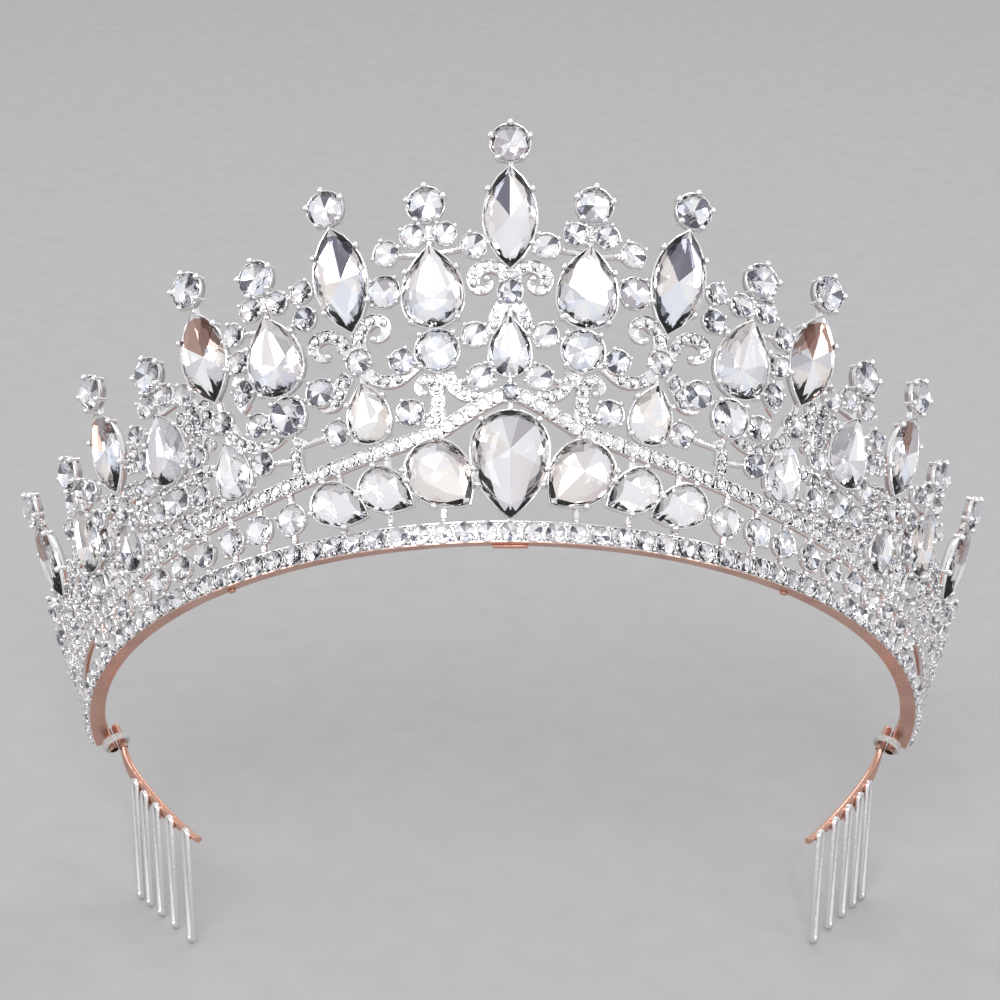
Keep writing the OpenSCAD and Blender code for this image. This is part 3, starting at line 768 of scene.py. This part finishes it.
def handled_surface():
    """Tone, roughness and height of a polished surface that has been handled."""
    if "Handled surface" in bpy.data.node_groups:
        return bpy.data.node_groups["Handled surface"]
    group, gin, gout = node_group(
        "Handled surface",
        [("Colour", "NodeSocketColor", (0.9, 0.9, 0.9, 1)),
         ("Dull colour", "NodeSocketColor", (0.7, 0.7, 0.7, 1)),
         ("Roughness", "NodeSocketFloat", 0.12), ("Spread", "NodeSocketFloat", 0.1),
         ("Grain size", "NodeSocketFloat", 900.0)],
        [("Colour", "NodeSocketColor"), ("Roughness", "NodeSocketFloat"), ("Height", "NodeSocketFloat")])
    n = group.nodes
    place = n.new("ShaderNodeTexCoord")
    broad = put(n.new("ShaderNodeTexNoise"), {"Scale": 140, "Detail": 3})
    grain = put(n.new("ShaderNodeTexNoise"), {"Detail": 2})
    patch = put(n.new("ShaderNodeMapRange"), {"From Min": 0.35, "From Max": 0.72})
    mix = n.new("ShaderNodeMix")
    mix.data_type = "RGBA"
    wide = n.new("ShaderNodeMath")
    wide.operation = "MULTIPLY_ADD"
    wire(group.links.new, (place, "Object", broad, "Vector"), (place, "Object", grain, "Vector"),
         (gin, "Grain size", grain, "Scale"), (broad, "Fac", patch, "Value"),
         (patch, "Result", mix, "Factor"), (gin, "Colour", mix, "A"), (gin, "Dull colour", mix, "B"),
         (mix, "Result", gout, "Colour"), (patch, "Result", wide, 0), (gin, "Spread", wide, 1),
         (gin, "Roughness", wide, 2), (wide, "Value", gout, "Roughness"), (grain, "Fac", gout, "Height"))
    return group


def worn(colour, share):
    return [c * share for c in colour]


def surface_material(name, colour, dull, roughness, spread_, grain, bump, metallic=1.0):
    if name in bpy.data.materials:
        return bpy.data.materials[name]
    material, shader, n, link = new_material(name, {"Metallic": metallic})
    look = handled(n, {"Colour": (*colour, 1), "Dull colour": (*dull, 1), "Roughness": roughness,
                       "Spread": spread_, "Grain size": grain})
    height = put(n.new("ShaderNodeBump"), {"Strength": bump, "Distance": 0.0002})
    wire(link, (look, "Colour", shader, "Base Color"), (look, "Roughness", shader, "Roughness"),
         (look, "Height", height, "Height"), (height, "Normal", shader, "Normal"))
    return material


def silver():
    plate = bpy.context.scene.tiara_finish.silver
    return surface_material("Bright silver", plate, worn(plate, 0.9), 0.12, 0.12, 1500, 0.25)


def rose():
    plate = bpy.context.scene.tiara_finish.rose
    return surface_material("Rose plate", plate, worn(plate, 0.8), 0.22, 0.14, 1200, 0.3)


def silver_and_rose():
    return silver(), rose()


def crystal():
    """The clear crown of a stone."""
    if "Clear crystal" in bpy.data.materials:
        return bpy.data.materials["Clear crystal"]
    material, shader, n, link = new_material("Clear crystal", {
        "Transmission Weight": 1.0, "IOR": bpy.context.scene.tiara_finish.crystal_ior})
    look = handled(n, {"Colour": (1.0, 1.0, 1.0, 1), "Dull colour": (0.98, 0.97, 0.99, 1),
                       "Roughness": 0.0, "Spread": 0.004})
    wire(link, (look, "Colour", shader, "Base Color"), (look, "Roughness", shader, "Roughness"))
    return material


# Painted reflection tones of the foil: white, pale pink, pale grey, pale warm, grey, rose brown, slate,
# violet blue, amber, cool white
PAINTED_REFLECTION_TONES = (
    (0.99, 0.985, 0.99), (0.88, 0.83, 0.84), (0.76, 0.75, 0.78), (0.95, 0.89, 0.84), (0.56, 0.53, 0.55),
    (0.48, 0.31, 0.26), (0.20, 0.20, 0.24), (0.66, 0.68, 0.88), (0.85, 0.52, 0.30), (0.90, 0.93, 1.0),
)


def foil():
    """The mirror foil on the back facets, with painted reflections: most facets are painted bright, some
    dark, some warm, some blue, as cut glass shows the lights, floor and table.
    """
    if "Mirror foil" in bpy.data.materials:
        return bpy.data.materials["Mirror foil"]
    material, shader, n, link = new_material("Mirror foil", {"Metallic": 1.0})
    # Each facet's painted reflection tone picks a flat colour from the ramp
    tone = n.new("ShaderNodeAttribute")
    tone.attribute_name = "painted_reflection_tone"
    ramp = n.new("ShaderNodeValToRGB")
    ramp.color_ramp.interpolation = "CONSTANT"
    steps = ramp.color_ramp.elements
    steps[1].position = 1 / TONE_STEPS
    for i, colour in enumerate(PAINTED_REFLECTION_TONES):
        step = steps[i] if i < 2 else steps.new(i / TONE_STEPS)
        step.color = (*colour, 1)
    look = handled(n, {"Roughness": 0.06, "Spread": 0.02})
    wire(link, (tone, "Fac", ramp, "Fac"), (ramp, "Color", look, "Colour"),
         (ramp, "Color", look, "Dull colour"), (look, "Colour", shader, "Base Color"),
         (look, "Roughness", shader, "Roughness"))
    return material


def crystal_and_foil():
    return crystal(), foil()


def thread():
    if "Clear thread" in bpy.data.materials:
        return bpy.data.materials["Clear thread"]
    material = surface_material("Clear thread", (0.95, 0.95, 0.94), (0.86, 0.86, 0.86), 0.1, 0.1, 1500, 0.2,
                                metallic=0.0)
    put(material.node_tree.nodes["Principled BSDF"], {"Transmission Weight": 0.55, "IOR": 1.5})
    return material


def length(name, words, default, low, high):
    words += ", in millimetres"
    return FloatProperty(name=name, description=words, default=default, min=low, max=high)


def plate_colour(name, words, default):
    return FloatVectorProperty(name=name, description=words, subtype="COLOR", default=default, min=0, max=1)


class TiaraSizes(bpy.types.PropertyGroup):
    bead: length("Bead", "Radius of a prong's bead on a small stone", 0.42, 0.15, 0.5)
    large_bead: length("Large bead", "Radius of a bead on a main stone", 0.56, 0.2, 0.7)
    pave_pitch: length("Rail pitch", "Spacing of the rail's stones", 2.06, 1.6, 3.0)
    scroll_pitch: length("Scroll pitch", "Spacing of the scrolls' stones", 1.62, 1.2, 2.5)
    scroll_width: length("Scroll width", "Width of a scroll", 1.9, 1.0, 2.5)
    band_steps: IntProperty(name="Band steps", description="Steps round the band", default=132,
                            min=48, max=240)


class TiaraFinish(bpy.types.PropertyGroup):
    silver: plate_colour("Silver", "Colour of the plated metal", (0.93, 0.92, 0.925))
    rose: plate_colour("Rose", "Colour of the rose-toned plate", (0.72, 0.42, 0.33))
    floor: plate_colour("Floor", "Colour of the floor", (0.42, 0.41, 0.41))
    crystal_ior: FloatProperty(name="Crystal IOR", description="Refraction of the stones", default=1.42,
                               min=1.3, max=2.4)


def spun_band(name, section, materials):
    """A band of the given section, up and out, spun round the ring's axis."""
    clear_selection()
    half = BAND_HALF / FACE_R
    bpy.ops.mesh.primitive_circle_add(vertices=len(section), radius=1, fill_type="NGON")
    obj = bpy.context.object
    a = math.radians(FLARE)
    for vert, (h, out) in zip(obj.data.vertices, section):
        r = BACK_R + h * math.sin(a) + out * math.cos(a)
        z = h * math.cos(a) - out * math.sin(a)
        vert.co = (-r * math.sin(half), -r * math.cos(half), z)
    into_edit()
    steps = bpy.context.scene.tiara_sizes.band_steps
    bpy.ops.mesh.spin(steps=steps, angle=-2 * half, center=(0, 0, 0), axis=(0, 0, 1), use_auto_merge=False)
    weld(0.0005)
    bpy.ops.object.mode_set(mode="OBJECT")
    mesh = obj.data
    mesh.transform(STAND)
    for material in materials:
        mesh.materials.append(material)
    obj.name = mesh.name = name
    bpy.ops.object.shade_smooth_by_angle(angle=math.radians(35))
    return obj


class TIARA_OT_band(bpy.types.Operator):
    """Make the base band, the rose-toned strip behind it, its lugs and its solder tabs"""
    bl_idname = "tiara.band"
    bl_label = "Base band"

    def execute(self, context):
        half = BAND_H / 2
        channel = [(0.12 - half, 0.0), (half, 0.0), (half, STRIP_OUT), (half - 0.1, STRIP_OUT),
                   (half - 0.16, 0.5), (0.26 - half, 0.5), (0.22 - half, STRIP_OUT), (0.12 - half, STRIP_OUT)]
        settle(spun_band("band_channel", channel, [silver()]), "silver_metal", "frame")
        strip = [(-half + 0.15, -1.3), (half - 0.15, -1.3), (half, -1.15), (half, 0.0), (0.12 - half, 0.0),
                 (0.12 - half, STRIP_OUT - 0.05), (-half, STRIP_OUT - 0.05), (-half, -1.15)]
        settle(spun_band("inner_strip", strip, [rose()]), "rose_metal", "frame")
        small = []
        lug = prong(0, LUG_HIGH - LUG_LOW, 0.7, 0.7, 14)
        for _, side in SIDES:
            small.append((lug, by_lug(side, LUG_LOW, LUG_OUT) @ Matrix.Rotation(-math.pi / 2, 4, "X")))
        for s, w in ((0, 5.2), (-KNOB_S, 1.1), (KNOB_S, 1.1)):
            clear_selection()
            bpy.ops.mesh.primitive_cube_add(size=1)
            into_edit()
            bpy.ops.transform.resize(value=(w, 0.6, 0.9), center_override=(0, 0, 0))
            bpy.ops.mesh.bevel(offset=0.28, segments=4, affect="EDGES")
            small.append((take_template(), on_curve(s, 0) @ Matrix.Translation((0, -half - 0.15, -0.75))))
        small = [(smooth(mesh), place) for mesh, place in small]
        gather("lugs_and_tabs", small, [rose()], "rose_metal", "frame")
        return {"FINISHED"}


def claws(claw, at, count, first, foot):
    """Claws spread evenly round a place, from the first angle on, each with its foot so far from it."""
    turns = (Matrix.Rotation(math.radians(first + 360 / count * j), 4, "Z") for j in range(count))
    return [(claw, at @ turn @ Matrix.Translation((*foot, 0))) for turn in turns]


def lay_bar(bars, path, section, widths=None):
    """Adds a bar that is drawn flat and then wrapped on the ring."""
    bars.append((wrap(bar_along(path, section, widths or [1.0] * len(path))), Matrix.Identity(4)))


def lay_stem(bars, ends, section):
    """Adds a plain stem, but not where a stone covers it."""
    for run in uncovered(even_path(ends, 0.4)[0]):
        lay_bar(bars, run[::3] + ([run[-1]] if (len(run) - 1) % 3 else []), section)


def fine_cut(kind):
    w, girdle, crown = FINE_CUTS[kind]
    return cut_stone("round", w, w, girdle, crown, True)


def lay_rail(bars, gems):
    """The sloped rail: a stone in its own ring at each step, and two beads between two stones."""
    pitch = bpy.context.scene.tiara_sizes.pave_pitch
    gem, bead = fine_cut("rail"), prong(0, 0, 0.3, 0)
    ring = cup(round_line(0.99, 12), 0.9, 1.3, 0.1, 1.1, 1.0)
    path, total = smooth_path([(x * 2.0, rail_h(x * 2.0)) for x in range(-54, 55)])
    lay_bar(bars, path, lipped(RAIL_W, 1.06, 0.16, 0.5))
    step, middle, last = pitch * len(path) / total, len(path) / 2, len(path) - 1
    count = int(total / 2 / pitch)
    for i in range(-count, count + 1):
        at, joint = (path[min(max(round(middle + k * step), 0), last)] for k in (i, i + 0.5))
        if abs(at[0]) > RAIL_END:
            continue
        if i:
            gems.append((gem, on_curve(at[0], at[1], 23 * i)))
            bars.append((ring, on_curve(at[0], at[1])))
        for dh in (-0.86, 0.86):
            bars.append((bead, on_curve(joint[0], joint[1] + dh, 0, 1.12)))


def lay_scrolls(bars, gems):
    """The scrolls: tapered channels with stones and beads, and a solid bead in the middle of each curl."""
    sizes = bpy.context.scene.tiara_sizes
    gem, bead, curl_end = fine_cut("scroll"), prong(0, 0, 0.22, 0, 6), prong(0, 0, 0.66, 0, 14)
    for row, side in ((row, side) for row in SCROLLS for _, side in SIDES):
        path, total = scroll_path(row, side)
        last = len(path) - 1
        widths = [1 - (1 - row[7]) * ease(2 * (k / last) - 1) for k in range(last + 1)]
        lay_bar(bars, path, lipped(sizes.scroll_width, 1.24, 0.14, 0.5), widths)
        curled = abs(row[6]) > 150
        if curled:
            bars.append((curl_end, on_curve(path[-1][0], path[-1][1], 0, 0.78)))
        for i in range(int(total * (0.84 if curled else 1.0) / sizes.scroll_pitch)):
            k = min(round((i + 0.6) * sizes.scroll_pitch / total * last), last)
            if not covered(path[k][0], path[k][1], 0.75 * widths[k]):
                fit = Matrix.Diagonal((widths[k], widths[k], 1, 1))
                gems.append((gem, on_curve(path[k][0], path[k][1], 20 * i) @ fit))
            j = min(round((i + 0.1) * sizes.scroll_pitch / total * last), last - 1)
            way = (path[j + 1] - path[j]).normalized() * sizes.scroll_width * 0.4 * widths[j]
            for d in (-1, 1):
                bars.append((bead, on_curve(path[j][0] - d * way[1], path[j][1] + d * way[0], 0, 1.2)))


def lay_arms(bars, gems):
    """The arms: channels of even width with stones."""
    gem, width = fine_cut("arm"), bpy.context.scene.tiara_sizes.scroll_width * 0.9
    for bends, side in ((bends, side) for bends in ARMS for _, side in SIDES):
        path, total = smooth_path([(side * s, h) for s, h in bends])
        lay_bar(bars, path, lipped(width, 1.14, 0.14, 0.45))
        stones = max(1, int((total - 0.4) / 1.5))
        for i in range(stones):
            at = path[round((i + 0.5) * (len(path) - 1) / stones)]
            if not covered(at[0], at[1], 0.6):
                gems.append((gem, on_curve(at[0], at[1], 20 * i)))


def lay_stems(bars):
    """The columns' stems, the ones under the rail and the ones out to the side stones, with their solder."""
    solder = prong(0, 0, 0.46, 0, 10)
    for row in MARQUISE_COLUMNS + PEAR_COLUMNS:
        for _, side in SIDES if row[0] else SIDES[1:]:
            foot = 1.2 if row[0] == 0 else rail_h(row[1])
            lay_stem(bars, [(side * row[1], foot), (side * row[2], row[3] - 1)], half_round(1.1, 0.8))
    flared = [(0, 21.6 + 0.2 * k) for k in range(10)]
    lay_bar(bars, flared, half_round(1.0, 1.3), [1.9, 1.35, 1.05, 0.9, 0.85, 0.85, 0.95, 1.2, 1.6, 2.2])
    for s, h, *_ in list(lower_rounds()) + list(LOWER_PEARS):
        for _, side in SIDES:
            lay_stem(bars, [(side * s, 1.2), (side * s, rail_h(s))], half_round(1.1, 0.95))
            for at in (2.0, rail_h(s) - 1.4):
                bars.append((solder, on_curve(side * s, at, 0, 0.75)))
    for number, dx, h, r in SIDE_ROUNDS:
        row = pear_row(number)
        for _, side in SIDES:
            end = (side * axis_s(row, h - 0.7), h - 0.7)
            start = (side * (axis_s(row, h) + dx), h)
            lay_stem(bars, [start, end], half_round(1.0, 0.75))
            out = Vector(start).lerp(Vector(end), min((r + 0.35) / math.dist(start, end), 1))
            bars.append((solder, on_curve(out[0], out[1], 0, 0.6)))


def lay_fill(fill, gems):
    """The finest stones of the sides, each in a cup with four claws."""
    gem, claw = fine_cut("fill"), prong(0.5, 1.3, 0.27, 0.18)
    holder = cup(round_line(0.95, 12), 0.2, 1.15, 0.14, 0.5)
    for k, (s, h) in enumerate(fill_stones()):
        for _, side in SIDES:
            gems.append((gem, on_curve(side * s, h, 31 * k)))
            fill.append((holder, on_curve(side * s, h)))
            fill += claws(claw, on_curve(side * s, h), 4, 45 - 17 * k, (1.08, 0))


class TIARA_OT_rail(bpy.types.Operator):
    """Make the sloped rail, the scrolls, the stems and the fine stones set along them"""
    bl_idname = "tiara.rail"
    bl_label = "Rail and scrolls"

    def execute(self, context):
        bars, gems, fill = [], [], []
        lay_rail(bars, gems)
        lay_scrolls(bars, gems)
        lay_arms(bars, gems)
        lay_stems(bars)
        lay_fill(fill, gems)
        gather("fill_settings", fill, silver_and_rose(), "silver_metal", "frame")
        gather("rail_and_scrolls", bars, silver_and_rose(), "silver_metal", "frame")
        gather("fine_stones", gems, crystal_and_foil(), "cut_stone")
        return {"FINISHED"}


def row_steps():
    """Numbers of the base row's stones, counted from the middle."""
    count = int(BAND_HALF / ROW_PITCH)
    return range(-count, count + 1)


class TIARA_OT_settings(bpy.types.Operator):
    """Make the cups and prongs of the round, main and finial stones"""
    bl_idname = "tiara.settings"
    bl_label = "Settings"

    def execute(self, context):
        sizes = context.scene.tiara_sizes
        small, large, cups = [], [], {}
        claw = prong(0.35, 1.3, sizes.bead, sizes.bead * 0.62)
        places = [(side * s, h, r) for s, h, r in side_rounds() for _, side in SIDES]
        places += [(0, h, r) for h, r in MIDDLE_ROUNDS]
        for k, (s, h, r) in enumerate(places):
            if r not in cups:
                cups[r] = cup(round_line(r, 20), 0.0, 1.08, 0.18, 0.12, 0.84)
            small.append((cups[r], seat(s, h)))
            small += claws(claw, seat(s, h), 4, 17 + 14 * (k % 5), (r + 0.2, 0))
        ring = cup(round_line(ROW_R, 18), 0.55, 1.55, 0.1, 0.6, 0.9)
        corner = prong(0.5, 1.62, 0.34, 0.24)
        for i in row_steps():
            small.append((ring, on_band(i * ROW_PITCH)))
            if i < row_steps()[-1]:
                small += [(corner, on_band((i + 0.5) * ROW_PITCH, 0, dh)) for dh in (-CLAW_ROW_H, CLAW_ROW_H)]
        gather("small_settings", small, silver_and_rose(), "silver_metal", "frame")
        tall = prong(0.35, 1.86, sizes.large_bead, sizes.large_bead * 0.6, 10)
        for name, kind, s, h, w, l, turn in main_stones():
            line = stone_line(kind, w, l, 28)
            large.append((cup(line, 0.0, 1.5, 0.3, 0.1, 0.88), seat(s, h, turn)))
            for angle in (45, 135, 225, 315) if kind == "round" else (52, 128, 232, 308):
                p = claw_point(kind, line, w, l, angle)
                large.append((tall, seat(s, h, turn) @ Matrix.Translation((p[0], p[1], 0))))
        top_claw = prong(0.2, 1.86, 0.57, 0.36, 10)
        rims = {r: cup(round_line(r, 28), 0.0, 1.5, 0.2, 0.1, 0.74) for r in (FINIAL_R, PEAK_R)}
        for s, h, turn, r in finials():
            large.append((rims[r], seat(s, h, turn)))
            large += claws(top_claw, seat(s, h, turn), 5, 0, (0, r + 0.14))
        gather("main_settings", large, silver_and_rose(), "silver_metal", "frame")
        return {"FINISHED"}


def claw_point(kind, line, w, l, angle):
    """Where a claw stands, just outside the stone's edge."""
    p, d = reach(line, angle)
    if kind == "marquise":
        y = math.copysign(l * 0.25, d[1])
        p = (math.copysign(half_width(kind, w, l, y), d[0]), y)
    elif kind == "pear" and d[1] > 0:
        y = l * 0.1 + w / 8
        p = (math.copysign(half_width(kind, w, l, y), d[0]), y)
    return p[0] + d[0] * 0.32, p[1] + d[1] * 0.32


class TIARA_OT_stones(bpy.types.Operator):
    """Cut the stones and set them: main stones one by one, the others in their rows"""
    bl_idname = "tiara.stones"
    bl_label = "Stones"

    def execute(self, context):
        seat_z = PLATE + SEAT_GAP
        girdle, crown = seat_z + 0.5, 1.1
        for name, kind, s, h, w, l, turn in main_stones():
            mesh = cut_stone(kind, w, l, girdle, crown, flip=-1 if 90 < abs(turn) < 270 else 1)
            gather("cut_" + name, [(mesh, seat(s, h, turn))], crystal_and_foil(), "cut_stone", name)
        tops = {r: cut_stone("round", 2 * r, 2 * r, girdle, crown) for r in (FINIAL_R, PEAK_R)}
        copies = [(tops[r], seat(s, h, turn + 17 * k)) for k, (s, h, turn, r) in enumerate(finials())]
        gather("cut_finial_stones", copies, crystal_and_foil(), "cut_stone", "finial_stones")
        for word, side in SIDES:
            rounds = [(side * s, h, r) for s, h, r in side_rounds()]
            if side > 0:
                rounds += [(0, h, r) for h, r in MIDDLE_ROUNDS]
            copies = [(cut_stone("round", 2 * r, 2 * r, seat_z + 0.08, 0.77), seat(s, h, 9 * k + 11 * side))
                      for k, (s, h, r) in enumerate(rounds)]
            name = "round_stones_" + word
            gather("cut_" + name, copies, crystal_and_foil(), "cut_stone", name)
        # Four cuts that differ only in the painted reflection tones of their foil
        w = 2 * ROW_R - 0.08
        cuts = [cut_stone("round", w, w, STRIP_OUT + 0.2 + 0.001 * k, 0.72) for k in range(4)]
        copies = [(cuts[i % 4], on_band(i * ROW_PITCH) @ Matrix.Rotation(0.3 * i, 4, "Z"))
                  for i in row_steps()]
        gather("cut_band_stones", copies, crystal_and_foil(), "cut_stone", "band_stones")
        return {"FINISHED"}


def stood(s, h, out):
    """A place on the ring, turned upright but still measured from the ring's centre."""
    return Matrix.Translation(-LIFT) @ Matrix.Scale(1 / MM, 4) @ panel(s, lean(s)) @ Vector((0, h, out))


def comb_line(t):
    start = stood(LUG_S, LUG_LOW, STEM_OUT)
    return (1 - t) ** 2 * start + 2 * t * (1 - t) * COMB_BEND + t * t * COMB_END


def comb_way(t):
    return (comb_line(min(t + 0.04, 1)) - comb_line(max(t - 0.04, 0))).normalized()


def comb_shape(side):
    def shape(t, angle):
        way = comb_way(t)
        flat = Vector((-way.y, way.x, 0)).normalized()
        deep = 0.45 + 1.2 * math.sin(math.pi * min(t * 1.05, 1))
        c, s = math.cos(angle), math.sin(angle)
        p = (comb_line(t) + flat * 0.55 * math.copysign(abs(c) ** 0.7, c)
             + way.cross(flat) * deep * math.copysign(abs(s) ** 0.7, s) + LIFT)
        return Vector((side * p.x, p.y, p.z)) * MM
    return shape


def hairpin(side, t):
    """A tooth: a wire loop drawn long, with its bend at the tip and its other end up in front of the bar."""
    foot = comb_line(t) - Vector((0, 0, 0.4))
    way = comb_way(t)
    heading = math.atan2(way.y, way.x)
    rake = math.radians(TOOTH_RAKE)
    half = WIRE_GAP / 2
    sink = half * math.hypot(math.cos(rake), math.sin(rake) * math.sin(heading)) + WIRE_R
    drop = (STAND_HEIGHT + foot.z - sink) / math.cos(rake)
    clear_selection()
    bpy.ops.mesh.primitive_torus_add(major_radius=half, minor_radius=WIRE_R, major_segments=24,
                                     minor_segments=10)
    into_edit()
    pick_faces(lambda c, n: c.y > 0)
    bpy.ops.transform.translate(value=(0, drop + 0.35, -0.95))
    mesh = smooth(take_template())
    upright = Matrix.Rotation(heading, 4, "Z") @ Matrix.Rotation(math.pi / 2, 4, "X")
    hung = Matrix.Rotation(-rake, 4, "X") @ Matrix.Translation((0, 0, -drop)) @ upright
    mirror = Matrix.Scale(side, 4, (1, 0, 0)) @ Matrix.Scale(MM, 4)
    mesh.transform(mirror @ Matrix.Translation(foot + LIFT) @ hung)
    if side < 0:
        mesh.flip_normals()
    return mesh


class TIARA_OT_combs(bpy.types.Operator):
    """Make the combs' rose bars, their hairpin teeth and the clear thread that binds them to the band"""
    bl_idname = "tiara.combs"
    bl_label = "Combs"

    def execute(self, context):
        for word, side in SIDES:
            bar = tube(f"{word}_comb_bar", 16, 26, comb_shape(side))
            bar.data.materials.append(rose())
            settle(bar, "rose_metal", word + "_comb")
            stem = prong(0, LUG_HIGH - LUG_LOW + 0.3, 0.7, 0.7, 14)
            at = by_lug(side, LUG_LOW - 0.3, STEM_OUT) @ Matrix.Rotation(-math.pi / 2, 4, "X")
            gather(f"{word}_comb_stem", [(stem, at)], [rose()], "rose_metal", word + "_comb")
            teeth = [(hairpin(side, 0.42 + 0.13 * k), Matrix.Identity(4)) for k in range(TEETH)]
            gather(f"{word}_comb_teeth", teeth, [silver()], "rose_metal", word + "_comb")
            clear_selection()
            bpy.ops.mesh.primitive_torus_add(major_radius=BINDING_R, minor_radius=THREAD_R, major_segments=40,
                                             minor_segments=10)
            turn = smooth(take_template())
            middle = by_lug(side, LUG_LOW + 1.2, (LUG_OUT + STEM_OUT) / 2)
            centre = middle @ Matrix.Rotation(math.pi / 2, 4, "X")
            turns = [(turn, centre @ Matrix.Translation((0, 0, 0.32 * k)) @ Matrix.Rotation(0.06 * k, 4, "X")
                      @ Matrix.Scale(1 - 0.03 * abs(k), 4)) for k in (-1, 0, 1)]
            gather(f"{word}_binding_thread", turns, [thread()], "clear_binding", word + "_binding")
        return {"FINISHED"}


def area_light(name, place, size, power):
    data = bpy.data.lights.new(name, "AREA")
    data.shape = "RECTANGLE"
    data.size, data.size_y = size
    data.energy = power
    lamp = bpy.data.objects.new(name, data)
    bpy.context.collection.objects.link(lamp)
    lamp.location = place
    lamp.rotation_mode = "QUATERNION"
    lamp.rotation_quaternion = (LIGHT_AIM - Vector(place)).to_track_quat("-Z", "Y")


class TIARA_OT_stage(bpy.types.Operator):
    """Make the pale floor, the soft lights and the camera at the photograph's angle"""
    bl_idname = "tiara.stage"
    bl_label = "Stage"

    def execute(self, context):
        tone = context.scene.tiara_finish.floor
        clear_selection()
        bpy.ops.mesh.primitive_plane_add(size=20)
        floor = context.object
        floor.name = "floor"
        floor.data.materials.append(surface_material("Pale floor", tone, worn(tone, 0.96), 0.6, 0.1, 300, 0.1,
                                                     metallic=0.0))
        for light in LIGHTS:
            area_light(*light)
        world = bpy.data.worlds.new("studio")
        world.use_nodes = True
        put(world.node_tree.nodes["Background"], {"Color": (0.97, 0.98, 1.0, 1), "Strength": 0.86})
        context.scene.world = world
        context.scene.view_settings.view_transform = "Standard"
        data = bpy.data.cameras.new("camera")
        data.lens, data.sensor_width = LENS, 36
        camera = bpy.data.objects.new("camera", data)
        context.collection.objects.link(camera)
        pitch, yaw, roll = (math.radians(a) for a in CAMERA_ANGLES)
        forward = Vector((math.sin(yaw) * math.cos(pitch), math.cos(yaw) * math.cos(pitch), math.sin(pitch)))
        right = Vector((math.cos(yaw), -math.sin(yaw), 0))
        up = right.cross(forward)
        right, up = right * math.cos(roll) + up * math.sin(roll), up * math.cos(roll) - right * math.sin(roll)
        turn = Matrix((right, up, -forward)).transposed().to_4x4()
        lay = Matrix.Rotation(-math.radians(TILT), 4, "X")
        camera.matrix_world = Matrix.Translation(STAND @ CAMERA_AT) @ lay @ turn
        context.scene.camera = camera
        return {"FINISHED"}


class TIARA_PT_panel(bpy.types.Panel):
    bl_idname = "TIARA_PT_panel"
    bl_label = "Tiara"
    bl_space_type = "VIEW_3D"
    bl_region_type = "UI"
    bl_category = "Tiara"

    def draw(self, context):
        for group in (context.scene.tiara_sizes, context.scene.tiara_finish):
            for name in group.__annotations__:
                self.layout.prop(group, name)
        for operator in OPERATORS:
            self.layout.operator(operator.bl_idname)


OPERATORS = (TIARA_OT_band, TIARA_OT_rail, TIARA_OT_settings, TIARA_OT_stones, TIARA_OT_combs, TIARA_OT_stage)
CLASSES = (TiaraSizes, TiaraFinish, *OPERATORS, TIARA_PT_panel)


def register():
    for cls in CLASSES:
        bpy.utils.register_class(cls)
    bpy.types.Scene.tiara_sizes = PointerProperty(type=TiaraSizes)
    bpy.types.Scene.tiara_finish = PointerProperty(type=TiaraFinish)


def unregister():
    del bpy.types.Scene.tiara_finish
    del bpy.types.Scene.tiara_sizes
    for cls in reversed(CLASSES):
        bpy.utils.unregister_class(cls)


def main():
    register()
    bpy.ops.tiara.band()
    bpy.ops.tiara.rail()
    bpy.ops.tiara.settings()
    bpy.ops.tiara.stones()
    bpy.ops.tiara.combs()
    bpy.ops.tiara.stage()


if __name__ == "__main__":
    main()
